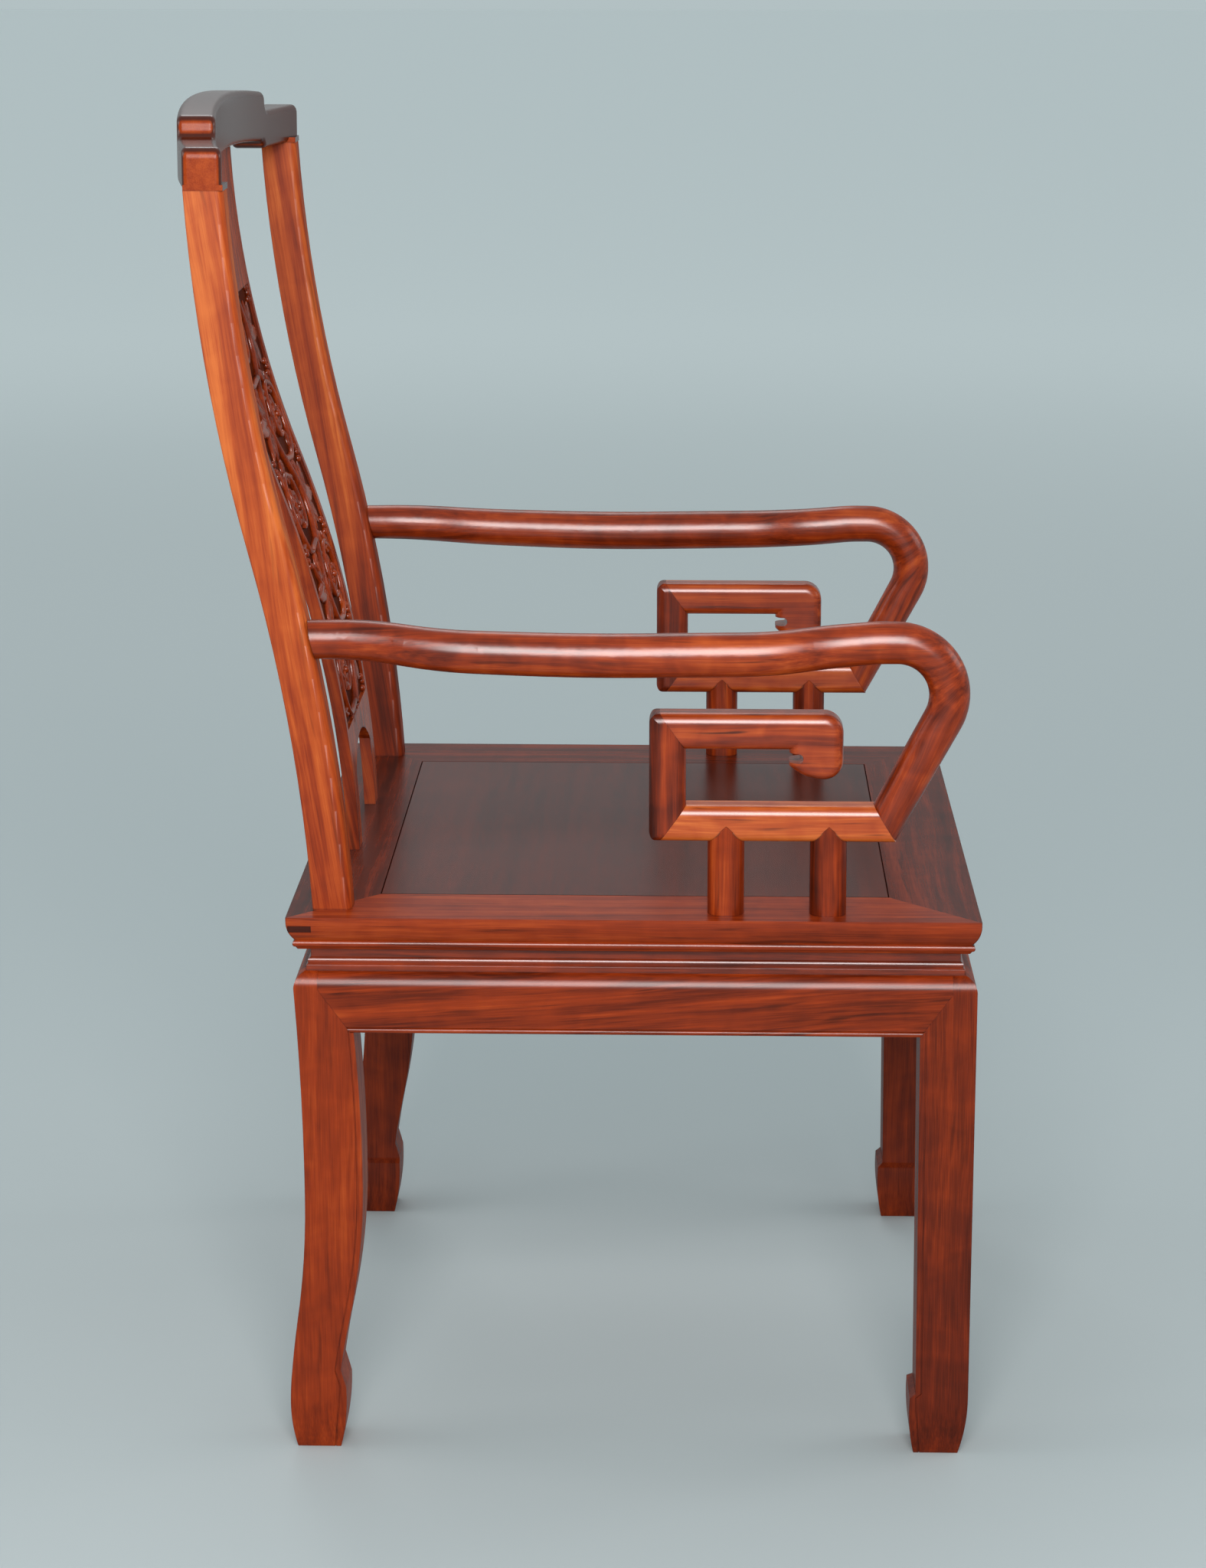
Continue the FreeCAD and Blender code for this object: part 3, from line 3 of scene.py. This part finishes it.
import bmesh
import bpy
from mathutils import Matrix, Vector


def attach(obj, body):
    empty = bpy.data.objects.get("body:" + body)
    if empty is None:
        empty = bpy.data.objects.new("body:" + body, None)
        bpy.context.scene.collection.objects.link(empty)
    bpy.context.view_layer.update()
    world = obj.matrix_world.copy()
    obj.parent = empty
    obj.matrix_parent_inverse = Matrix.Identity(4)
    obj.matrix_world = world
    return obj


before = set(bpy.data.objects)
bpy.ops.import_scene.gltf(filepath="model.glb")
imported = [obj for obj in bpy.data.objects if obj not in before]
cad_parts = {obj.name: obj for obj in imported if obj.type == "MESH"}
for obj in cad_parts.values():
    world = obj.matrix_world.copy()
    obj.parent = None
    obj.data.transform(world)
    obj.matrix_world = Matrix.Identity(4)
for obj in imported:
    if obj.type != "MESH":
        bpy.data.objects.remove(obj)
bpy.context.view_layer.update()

MM = 0.001

# Legs, sawn from solid rosewood, with a tenon that rises into the seat frame. The lacquer is
# rubbed to a soft gloss over the red-brown wood, whose soft bands and darker streaks run down
# each leg, with a lighter, cloudy figure across them.


class Link:
    """A shader socket, so that shader sums read as plain sums."""

    def __init__(self, finish, socket):
        self.finish, self.socket = finish, socket

    def maths(self, operation, *values):
        return self.finish.node("ShaderNodeMath", {"operation": operation}, dict(enumerate(values)))

    def __add__(self, other):
        return self.maths("ADD", self, other)

    def __sub__(self, other):
        return self.maths("SUBTRACT", self, other)

    def __rsub__(self, other):
        return self.maths("SUBTRACT", other, self)

    def __mul__(self, other):
        return self.maths("MULTIPLY", self, other)

    def __abs__(self):
        return self.maths("ABSOLUTE", self)

    def __gt__(self, other):
        return self.maths("GREATER_THAN", self, other)

    def __lt__(self, other):
        return self.maths("LESS_THAN", self, other)


class Finish:
    """A material, the one method that adds nodes to it, and short ways to two common nodes."""

    def __init__(self, name):
        self.material = bpy.data.materials.new(name)
        self.material.use_nodes = True
        self.tree = self.material.node_tree
        self.tree.nodes.clear()

    def node(self, kind, settings, sockets, output=0):
        made = self.tree.nodes.new(kind)
        for name, value in settings.items():
            if name == "stops":
                ramp = made.color_ramp
                while len(ramp.elements) < len(value):
                    ramp.elements.new(0.5)
                for element, (place, colour) in zip(ramp.elements, value):
                    element.position, element.color = place, (*colour, 1)
            else:
                setattr(made, name, value)
        for name, value in sockets.items():
            if isinstance(value, Link):
                self.tree.links.new(value.socket, made.inputs[name])
            else:
                made.inputs[name].default_value = value
        return Link(self, made.outputs[output]) if made.outputs else None

    def stops(self, value, low, high):
        """A smooth step from 0 at the low value to 1 at the high one."""
        return self.node("ShaderNodeMapRange", {"interpolation_type": "SMOOTHSTEP"}, {
            "Value": value, "From Min": low, "From Max": high})

    def mix(self, share, first, second):
        """The first colour, which gives way to the second as the share rises to 1."""
        return self.node("ShaderNodeMix", {"data_type": "RGBA"}, {
            0: share, 6: first, 7: second}, 2)


WOOD_TONES = [
    (0.00, (0.042, 0.0052, 0.0014)),
    (0.25, (0.118, 0.0125, 0.0022)),
    (0.50, (0.250, 0.0275, 0.0034)),
    (0.75, (0.400, 0.0620, 0.0085)),
    (1.00, (0.560, 0.1250, 0.0220)),
]
STREAK_TONE = (0.040, 0.0050, 0.0012, 1)
GRAIN_TURNS = {"X": (0, math.pi / 2, 0), "Y": (math.pi / 2, 0, 0), "Z": (0, 0, 0)}
# Features per metre, across the grain and along it, of each layer of the grain.
BOARDS, SOFT_BANDS, FINE_BANDS = (17, 2.4), (105, 3.2), (330, 7)
CLOUDS, FIBRES, DARK_STREAKS, DRIFT = (34, 42), (1100, 34), (210, 11), (9, 4)
DRIFT_REACH = (0.022, 0.022, 0.05)
SEED_STEP = (0.37, 0.53, 0.71)
# How far each layer moves the tone, and the noise values between which a streak darkens.
BOARD_DEPTH, CLOUD_DEPTH, FINE_DEPTH, FIBRE_DEPTH = 0.55, 0.42, 0.5, 0.30
STREAK_RANGE = (0.60, 0.76)


def rosewood(name, along, tone, seed, lean=0.0, gloss=0.27, coat=0.9, soft=1.3, bands=1.0,
             figure=1.0, streaks=0.6, turned=None, deepened=None, shaded=None, dulled=None):
    """Lacquered rosewood whose grain runs along X, Y or Z. The lean turns the grain about X, and
    turned bends it more where the wood is cut round a corner. Tone goes from dark brown, 0, to
    light orange, 1. Gloss is the lacquer's roughness, coat its strength, and soft the width in
    millimetres over which edges catch the light. Bands, figure and streaks say how strongly
    those layers show. Deepened lowers the tone in places, shaded blackens places, and dulled
    thins the lacquer."""
    wood = Finish(name)
    place = wood.node("ShaderNodeTexCoord", {}, {}, "Object")
    if turned:
        place = turned(wood, place)
    turn = GRAIN_TURNS[along]
    grain = wood.node("ShaderNodeMapping", {"vector_type": "TEXTURE"}, {
        "Vector": place, "Location": tuple(seed * step for step in SEED_STEP),
        "Rotation": (turn[0] - lean, turn[1], turn[2])})

    def noise(vector, scales, detail=2.0, output=0, distortion=0.0):
        """A layer of noise: its value, which is output 0, or its colour, output 1."""
        across, length = scales
        scaled = wood.node("ShaderNodeVectorMath", {"operation": "MULTIPLY"}, {
            0: vector, 1: (across, across, length)})
        return wood.node("ShaderNodeTexNoise", {}, {
            "Vector": scaled, "Scale": 1.0, "Detail": detail, "Distortion": distortion}, output)

    drift = wood.node("ShaderNodeVectorMath", {"operation": "MULTIPLY_ADD"}, {
        0: noise(grain, DRIFT, 1, 1), 1: DRIFT_REACH, 2: grain})
    boards = noise(drift, BOARDS, 1)
    soft_bands = noise(drift, SOFT_BANDS)
    fine_bands = noise(drift, FINE_BANDS)
    clouds = noise(drift, CLOUDS, distortion=0.5)
    fibres = noise(grain, FIBRES, 1)
    dark = wood.stops(noise(drift, DARK_STREAKS), *STREAK_RANGE)
    value = (((boards - 0.5) * BOARD_DEPTH + (clouds - 0.5) * CLOUD_DEPTH) * figure
             + ((soft_bands - 0.5) + (fine_bands - 0.5) * FINE_DEPTH) * bands
             + (fibres - 0.5) * FIBRE_DEPTH + tone)
    if deepened:
        value = value - deepened(wood)
    colour = wood.node("ShaderNodeValToRGB", {"stops": WOOD_TONES}, {"Fac": value})
    streaked = wood.mix(dark * streaks, colour, STREAK_TONE)
    if shaded:
        streaked = wood.mix(shaded(wood), streaked, STREAK_TONE)
    soft_edge = wood.node("ShaderNodeBevel", {"samples": 6}, {"Radius": soft * MM})
    relief = wood.node("ShaderNodeBump", {}, {
        "Strength": 0.06, "Distance": 0.3 * MM, "Height": fibres, "Normal": soft_edge})
    surface = wood.node("ShaderNodeBsdfPrincipled", {}, {
        "Base Color": streaked, "Roughness": (clouds - 0.5) * 0.1 + 0.5, "Normal": relief,
        "Specular IOR Level": 0.0, "Coat Weight": (1 - dulled(wood)) * coat if dulled else coat,
        "Coat Roughness": gloss, "Coat IOR": 1.42})
    wood.node("ShaderNodeOutputMaterial", {}, {"Surface": surface})
    return wood.material


def dress(material, *nodes):
    """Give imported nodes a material."""
    for node in nodes:
        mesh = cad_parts[node].data
        mesh.materials.clear()
        mesh.materials.append(material)


LEG_TONES = {"front_right_leg": 0.27, "back_right_leg": 0.47, "front_left_leg": 0.26,
             "back_left_leg": 0.30}
for number, (leg, tone) in enumerate(LEG_TONES.items()):
    dress(rosewood(f"{leg}_wood", "Z", tone, number + 1.0, coat=0.42, bands=0.5, figure=0.65,
                   streaks=0.45), leg)

# Aprons, waist and seat rails, mitred at the corners and moulded along their outer edges. The
# back rail's tenons run through the side rails, and their dark end grain shows there.
TENON_INNER, TENON_SPAN, TENON_HEIGHT = 0.262, (0.1966, 0.2150), (0.4216, 0.4274)
END_GRAIN_SHADE = 0.9


def axes(wood, vector=None):
    """The X, Y and Z of a shader vector, or else of the place on the chair."""
    vector = vector or wood.node("ShaderNodeTexCoord", {}, {}, "Object")
    split = wood.node("ShaderNodeSeparateXYZ", {}, {0: vector}).socket.node
    return [Link(wood, output) for output in split.outputs]


def tenon_end(wood):
    """The end grain of the back rail's two tenons."""
    across, along, height = axes(wood)
    mask = wood.stops(abs(across), TENON_INNER, TENON_INNER + MM) * END_GRAIN_SHADE
    for value, (low, high) in ((along, TENON_SPAN), (height, TENON_HEIGHT)):
        mask = mask * (value > low) * (value < high)
    return mask


for number, (place, along, tone) in enumerate((
        ("front", "X", 0.20), ("back", "X", 0.18), ("right", "Y", 0.48), ("left", "Y", 0.22))):
    dress(rosewood(f"{place}_apron_wood", along, 0.35, number + 5.3, lean=0.07, coat=0.42,
                   bands=0.9, figure=0.45, streaks=0.8), f"{place}_apron")
    dress(rosewood(f"{place}_waist_wood", along, 0.30, number + 9.1, bands=0.6, figure=0.6),
          f"{place}_waist")
    dress(rosewood(f"seat_{place}_rail_wood", along, tone, number + 13.7, coat=0.55, bands=0.6,
                   figure=0.5, shaded=tenon_end if place == "back" else None),
          f"seat_{place}_rail")

# Seat panel, a board of darker wood that floats in the frame's grooves, with a dark joint all
# round it, and its two battens.
PANEL_HALF_WIDTH, PANEL_MIDDLE, PANEL_HALF_DEPTH = 0.2130, -0.0489, 0.1980
JOINT_OUTER, JOINT_INNER, JOINT_SHADE = 0.8 * MM, 1.3 * MM, 0.9


def panel_joint(wood):
    """The dark line where the panel meets its frame."""
    across, along, _ = axes(wood)
    clear = JOINT_SHADE
    for value, half in ((across, PANEL_HALF_WIDTH), (along - PANEL_MIDDLE, PANEL_HALF_DEPTH)):
        clear = wood.stops(abs(value), half - JOINT_OUTER, half - JOINT_INNER) * clear
    return JOINT_SHADE - clear


dress(rosewood("panel_wood", "X", 0.10, 18.2, coat=0.7, bands=0.2, figure=0.2, streaks=0.0,
               shaded=panel_joint, dulled=panel_joint), "seat_panel")
dress(rosewood("batten_wood", "Y", 0.30, 19.9, gloss=0.5),
      "panel_right_batten", "panel_left_batten")

# Back stiles, cut on a curve from thick boards of a lighter, more orange wood, whose long soft
# bands follow the stile and darken towards its foot.
STILE_LEAN = math.radians(8.6)
FOOT_HEIGHTS, FOOT_DEPTH = (0.80, 0.44), 0.32


def stile_foot(wood):
    """Lowers the tone towards a stile's foot."""
    _, _, height = axes(wood)
    return wood.stops(height, *FOOT_HEIGHTS) * FOOT_DEPTH


for side, seed, tone in (("right", 21.4, 0.88), ("left", 23.9, 0.64)):
    dress(rosewood(f"{side}_stile_wood", "Z", tone, seed, lean=STILE_LEAN, gloss=0.42, coat=0.35,
                   soft=3.0, figure=0.6, streaks=0.4, deepened=stile_foot), f"{side}_stile")

# Crest rail, carved from one thick board, with a raised middle between two low shoulders. Its
# front and top are painted almost black, as painted shade, and shine; its two ends show the wood.
CREST_SHADE, CREST_END_CLEAR, CREST_END_DULL = 0.93, 0.85, 0.7
SIDEWAYS = (0.72, 0.92)


def facing(wood):
    """The X, Y and Z of the direction in which a surface faces."""
    return axes(wood, wood.node("ShaderNodeNewGeometry", {}, {}, "Normal"))


def crest_end(wood):
    """The two end faces of the crest rail."""
    across, _, _ = facing(wood)
    return wood.stops(abs(across), *SIDEWAYS)


# Painted shade: the front and top are mixed almost to black, and only the two end faces are cleared
# of it.
dress(rosewood("crest_wood", "X", 0.62, 26.6, soft=1.7, bands=0.4, figure=0.3, streaks=0.0,
               shaded=lambda wood: CREST_SHADE - crest_end(wood) * CREST_END_CLEAR,
               dulled=lambda wood: crest_end(wood) * CREST_END_DULL), "crest_rail")

# Splat, a curved board with a sunk field, and in it a vine in high relief: a waving stem, a
# scroll with a flower in each bend, and leaves in all that is left. It is carved from the
# board itself and lacquered, so that it shines on its crests. The field's ground round it is
# painted almost black, as painted shade in the hollows.
SPLAT_LEAN = math.radians(11.5)
FIELD_HALF, FIELD_LOW, FIELD_HIGH = 0.0755, 0.5325, 0.8785
GROUND_SHADE, FORWARDS = 0.85, (-0.3, -0.6)


def field_ground(wood):
    """The ground of the splat's sunk field, on its front face alone, painted dark as painted shade
    of the hollow behind the relief.
    """
    across, _, height = axes(wood)
    _, ahead, _ = facing(wood)
    return (wood.stops(ahead, *FORWARDS)
            * (1 - wood.stops(abs(across), FIELD_HALF - MM, FIELD_HALF))
            * wood.stops(height, FIELD_LOW, FIELD_LOW + MM)
            * (1 - wood.stops(height, FIELD_HIGH - MM, FIELD_HIGH)) * GROUND_SHADE)


# The field's ground is painted almost black as painted shade, and its lacquer is thinned.
dress(rosewood("splat_wood", "Z", 0.46, 28.8, lean=SPLAT_LEAN, coat=0.6, soft=2.0,
               shaded=field_ground, dulled=field_ground), "splat")

# The board's middle line as seen from the side, in millimetres: two tangent arcs that meet at
# the turn. The field's ground lies ahead of that line.
SPLAT_FOOT_Y, SPLAT_FOOT_Z = 182.05, 434
SPLAT_RISE, SPLAT_TURN, SPLAT_RAKE = 572, 301, 117.5
END_LEAN = math.radians(2)
MID_LEAN = 2 * math.atan(SPLAT_RAKE / SPLAT_RISE) - END_LEAN
LEAN_GAIN = math.sin(MID_LEAN) - math.sin(END_LEAN)
LOWER_CURVE, UPPER_CURVE = SPLAT_TURN / LEAN_GAIN, (SPLAT_RISE - SPLAT_TURN) / LEAN_GAIN
TURN_Y = SPLAT_FOOT_Y + SPLAT_TURN * math.tan((MID_LEAN + END_LEAN) / 2)
FIELD_GROUND, FIELD_FOOT, FIELD_RISE = 2.35, 98, 347


def on_splat(across, height, relief):
    """The place of a point of the carver's flat drawing once it lies on the bent board."""
    height, ahead = height + FIELD_FOOT, relief + FIELD_GROUND
    if height < SPLAT_TURN:
        lean = math.asin(math.sin(END_LEAN) + height / LOWER_CURVE)
        y = SPLAT_FOOT_Y + LOWER_CURVE * (math.cos(END_LEAN) - math.cos(lean))
    else:
        lean = math.asin(math.sin(MID_LEAN) - (height - SPLAT_TURN) / UPPER_CURVE)
        y = TURN_Y + UPPER_CURVE * (math.cos(lean) - math.cos(MID_LEAN))
    return Vector((across, y - ahead * math.cos(lean),
                   SPLAT_FOOT_Z + height + ahead * math.sin(lean))) * MM


carving = bmesh.new()


def stem(points, start, end, relief, lift=0.0):
    """A round stem that tapers along its points, half sunk in the ground."""
    line = bpy.data.curves.new("stem", "CURVE")
    line.dimensions, line.bevel_depth, line.bevel_resolution, line.use_fill_caps = "3D", 1, 2, True
    spline = line.splines.new("POLY")
    spline.points.add(len(points) - 1)
    for number, (point, place) in enumerate(zip(spline.points, points)):
        share = number / (len(points) - 1)
        point.co = (*place, relief + lift * share, 1)
        point.radius = start + (end - start) * share
    drawn = bpy.data.objects.new("stem", line)
    mesh = bpy.data.meshes.new_from_object(drawn)
    carving.from_mesh(mesh)
    bpy.data.meshes.remove(mesh)
    bpy.data.curves.remove(line)


GROOVE_DEPTH, GROOVE_WIDTH = 0.55, 0.3


def leaf(base, heading, length, width, relief, lift=0.0, curl=0.0, lobes=0.0):
    """A domed leaf or petal with a grooved middle, that grows from its base towards its heading."""
    along = Vector((math.cos(heading), math.sin(heading), 0))
    aside = Vector((-along.y, along.x, 0))
    made = bmesh.ops.create_uvsphere(carving, u_segments=12, v_segments=12, radius=1)
    for vertex in made["verts"]:
        x, y, z = vertex.co
        share, girth = (1 + z) / 2, math.hypot(x, y) or 1.0
        side, up = x / girth, y / girth
        swell = max(math.sin(math.pi * min(share, 1) ** 0.8), 0) ** 0.8
        lobe = 1 + lobes * math.cos(8 * math.pi * share)
        groove = GROOVE_DEPTH * math.exp(-(side / GROOVE_WIDTH) ** 2) if up > 0 else 0
        dome = relief * swell ** 0.6 * (up * (1 - groove))
        vertex.co = (Vector((*base, lift * share + dome)) + along * (length * share)
                     + aside * (side * swell * lobe * width / 2 + curl * length * share * share))


def berry(place, size, relief=0.6):
    """A round berry."""
    made = bmesh.ops.create_uvsphere(carving, u_segments=10, v_segments=8, radius=size)
    bmesh.ops.translate(carving, verts=made["verts"], vec=(*place, relief))


PETALS, FLOWER_RINGS = 6, ((1.0, 0.86, 0.8), (0.62, 0.5, 2.0))


def flower(place, size, turn):
    """An open flower of two rings of petals round a domed heart."""
    for ring, (reach, breadth, lift) in enumerate(FLOWER_RINGS):
        for petal in range(PETALS):
            heading = turn + (petal + ring / 2) * 2 * math.pi / PETALS
            leaf(place, heading, size * reach, size * breadth, relief=3.0, lift=lift)
    berry(place, size * 0.18, 3.0)


BAYS, STEM_SWING, MARGIN, STEM_STEPS = 5, 19, 5, 90
VINE_RISE = FIELD_RISE - 2 * MARGIN
BAY = VINE_RISE / BAYS
FLOWER_OUT, FLOWER_SIZE = 32, 17.5
SCROLL_START, SCROLL_SWEEP, SCROLL_CORE, SCROLL_COIL = -128, 400, 15, 22
SCROLL_JOINT, SCROLL_STEPS = 0.06, 44
# Leaves of a scroll, each with its share of the way, turn outwards, length and width.
SCROLL_LEAVES = (
    (0.06, 52, 20, 11), (0.17, 40, 18, 10), (0.28, 26, 18, 10), (0.41, 34, 18, 10),
    (0.52, 46, 20, 11), (0.64, 52, 20, 11), (0.76, 56, 17, 10),
    (0.16, -46, 15, 9), (0.29, -46, 14, 9), (0.42, -46, 14, 8), (0.56, -46, 12, 8))
# Leaves that fan out from the stem's bulge, each with its turn, length and width.
FAN_LEAVES = (0, 46, 17), (31, 41, 15), (-31, 41, 15), (60, 31, 13), (-60, 31, 13)
BERRY_SIZE, BERRY_STEP, BERRY_OUT, BERRY_RISE = 3.0, 5, 64, 31


def scroll(side, heart, share):
    """A point of a scroll, from the stem inwards to its flower."""
    angle = math.radians(SCROLL_START + SCROLL_SWEEP * share)
    reach = SCROLL_CORE + SCROLL_COIL * (1 - share) ** 0.8
    return heart + Vector((side * math.cos(angle), math.sin(angle))) * reach


def scroll_leaf(side, heart, share, turn, length, width):
    """A leaf of a scroll, turned outwards from its flower by an angle."""
    base = scroll(side, heart, share)
    step = scroll(side, heart, share + 0.01) - base
    leaf(base, math.atan2(step.y, step.x) - side * math.radians(turn), length, width,
         relief=3.2, curl=side * math.copysign(0.22, turn), lobes=0.1)


stem([(STEM_SWING * math.sin(math.pi * share * BAYS), MARGIN + VINE_RISE * share)
      for share in (number / STEM_STEPS for number in range(STEM_STEPS + 1))],
     start=3.9, end=3.0, relief=0.8)
for bay in range(BAYS):
    side = 1 if bay % 2 else -1
    middle = MARGIN + BAY * (bay + 0.5)
    heart = Vector((side * FLOWER_OUT, middle + 1))
    root = Vector((0, MARGIN + BAY * bay + 2))
    curve = [root.lerp(scroll(side, heart, SCROLL_JOINT), number / 4) for number in range(4)]
    curve += [scroll(side, heart, SCROLL_JOINT + (1 - SCROLL_JOINT) * number / SCROLL_STEPS)
              for number in range(SCROLL_STEPS + 1)]
    stem(curve, start=3.2, end=2.2, relief=0.8, lift=0.9)
    flower(heart, FLOWER_SIZE, bay * 0.4)
    for placing in SCROLL_LEAVES:
        scroll_leaf(side, heart, *placing)
    bulge = Vector((-side * (STEM_SWING + 1), middle))
    outwards = 0 if side < 0 else math.pi
    for turn, length, width in FAN_LEAVES:
        leaf(bulge, outwards + math.radians(turn), length, width, relief=3.4, lift=0.8,
             curl=math.copysign(0.14, turn) if turn else 0, lobes=0.12)
    for rise in (-BERRY_RISE, BERRY_RISE):
        for step in (-1, 0, 1):
            berry((-side * (BERRY_OUT + BERRY_STEP * (step == 0)),
                   middle + rise + step * BERRY_STEP), BERRY_SIZE)
for end, heading in ((MARGIN, -math.pi / 2), (FIELD_RISE - MARGIN, math.pi / 2)):
    for turn in (-70, 70):
        leaf((0, end), heading + math.radians(turn), 26, 11, relief=3.0,
             curl=math.copysign(0.2, -turn), lobes=0.1)
for vertex in carving.verts:
    vertex.co = on_splat(*vertex.co)
for face in carving.faces:
    face.smooth = True
bmesh.ops.recalc_face_normals(carving, faces=carving.faces)
carving_mesh = bpy.data.meshes.new("splat_carving")
carving.to_mesh(carving_mesh)
carving.free()
splat_carving = bpy.data.objects.new("splat_carving", carving_mesh)
bpy.context.collection.objects.link(splat_carving)
carving_mesh.materials.append(rosewood(
    "carving_wood", "Z", 0.42, 29.7, lean=SPLAT_LEAN, gloss=0.18, coat=0.6, soft=0.8, bands=0.5))
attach(splat_carving, "root")

# Arms, round rods shaped from curved boards, which join the stiles behind and the frets in
# front. The grain follows each rod round its front bend.
ARM_BEND, BEND_TURN = (-0.262, -0.265, 0.600), math.radians(66)
BEND_AHEAD, BEND_SLOPE, BEND_RANGE = 0.25, 0.8, (0.630, 0.545)


def round_the_bend(wood, place):
    """Turn the grain with the rod, from level behind the bend to steep below it."""
    _, along, height = axes(wood, place)
    bent = wood.stops(height + (along + BEND_AHEAD) * BEND_SLOPE, *BEND_RANGE)
    return wood.node("ShaderNodeVectorRotate", {"rotation_type": "X_AXIS"}, {
        "Vector": place, "Center": ARM_BEND, "Angle": bent * BEND_TURN})


for side, seed, tone in (("right", 31.2, 0.47), ("left", 33.8, 0.45)):
    dress(rosewood(f"{side}_arm_wood", "Y", tone, seed, coat=0.75, bands=0.8, figure=1.2,
                   turned=round_the_bend), f"{side}_arm")

# Frets, mitred bars of rounded section, each on two posts that stand on a side rail and end
# in a gable. The base bars are of the lightest wood.
for side, seed in (("right", 36.1), ("left", 38.4)):
    for piece, along, tone, shift, look in (
            ("fret_base", "Y", 0.80, 0.0, {"streaks": 0.8}),
            ("fret_top", "Y", 0.48, 1.3, {"streaks": 0.9}),
            ("fret_back", "Z", 0.40, 2.1, {"coat": 0.6}),
            ("front_post", "Z", 0.31, 3.4, {"coat": 0.45, "figure": 0.7}),
            ("back_post", "Z", 0.42, 4.2, {"coat": 0.45, "figure": 0.7})):
        dress(rosewood(f"{side}_{piece}_wood", along, tone, seed + shift, **look),
              f"{side}_{piece}")

# Room: a plain floor that grows paler outwards, soft lamps, and a camera to the right of the
# chair that looks down at the seat.
floor_mesh = bpy.data.meshes.new("floor")
shape = bmesh.new()
bmesh.ops.create_grid(shape, x_segments=1, y_segments=1, size=30)
shape.to_mesh(floor_mesh)
shape.free()
floor = bpy.data.objects.new("floor", floor_mesh)
bpy.context.collection.objects.link(floor)
FLOOR_NEAR, FLOOR_FAR, FLOOR_FADE = (0.42, 0.46, 0.47, 1), (0.97, 0.98, 0.98, 1), (1.2, 7.0)
paint = Finish("floor_paint")
speckle = paint.node("ShaderNodeTexNoise", {}, {"Scale": 3.0, "Detail": 4.0})
reach = paint.node("ShaderNodeVectorMath", {"operation": "LENGTH"}, {
    0: paint.node("ShaderNodeTexCoord", {}, {}, "Object")}, "Value")
paler = paint.mix(paint.stops(reach, *FLOOR_FADE), FLOOR_NEAR, FLOOR_FAR)
matt = paint.node("ShaderNodeBsdfPrincipled", {}, {
    "Base Color": paler, "Roughness": speckle * 0.1 + 0.6, "Specular IOR Level": 0.2})
paint.node("ShaderNodeOutputMaterial", {}, {"Surface": matt})
floor_mesh.materials.append(paint.material)

world = bpy.data.worlds.new("studio")
bpy.context.scene.world = world
world.use_nodes = True
world.node_tree.nodes["Background"].inputs["Color"].default_value = (0.45, 0.53, 0.545, 1)
world.node_tree.nodes["Background"].inputs["Strength"].default_value = 1.0


def lamp(name, place, aim, width, height, power, colour=(1, 1, 1), sheen=False):
    """A soft lamp at a place, turned to an aim. A sheen lamp is seen in the lacquer alone."""
    light = bpy.data.lights.new(name, "AREA")
    light.shape, light.size, light.size_y = "RECTANGLE", width, height
    light.energy, light.color = power, colour
    made = bpy.data.objects.new(name, light)
    made.location = place
    made.rotation_euler = (Vector(aim) - Vector(place)).to_track_quat("-Z", "Y").to_euler()
    made.visible_camera = False
    made.visible_diffuse = not sheen
    bpy.context.collection.objects.link(made)


lamp("key_lamp", (-2.75, -0.10, 1.80), (0, -0.05, 0.5), width=1.2, height=1.2, power=73,
     colour=(1, 0.98, 0.96))
lamp("sheen_lamp", (-2.75, -0.10, 2.00), (0, -0.05, 0.5), width=2.0, height=1.8, power=195,
     sheen=True)
lamp("front_lamp", (0.3, -3.3, 1.9), (0, 0, 0.5), width=2.0, height=1.2, power=26)
lamp("far_lamp", (2.4, 0.4, 2.7), (0, 0, 0.5), width=1.4, height=1.0, power=18)
lamp("rear_lamp", (-0.3, 3.3, 2.2), (0, 0, 0.5), width=2.0, height=1.2, power=26)

FRAME_PIXELS, FOCAL_PIXELS, SENSOR = 2048, 4691, 36
camera = bpy.data.objects.new("camera", bpy.data.cameras.new("camera"))
bpy.context.collection.objects.link(camera)
camera.location = (-2.910, -0.095, 1.216)
pitch, yaw = math.radians(10.65), math.radians(1.5)
view = Vector((math.cos(yaw) * math.cos(pitch), math.sin(yaw) * math.cos(pitch), -math.sin(pitch)))
camera.rotation_euler = view.to_track_quat("-Z", "Y").to_euler()
camera.data.sensor_fit = "AUTO"
camera.data.sensor_width = SENSOR
camera.data.lens = FOCAL_PIXELS / FRAME_PIXELS * SENSOR
camera.data.shift_y = -0.15
camera.data.clip_start, camera.data.clip_end = 0.05, 60
bpy.context.scene.camera = camera
bpy.context.scene.view_settings.view_transform = "Standard"
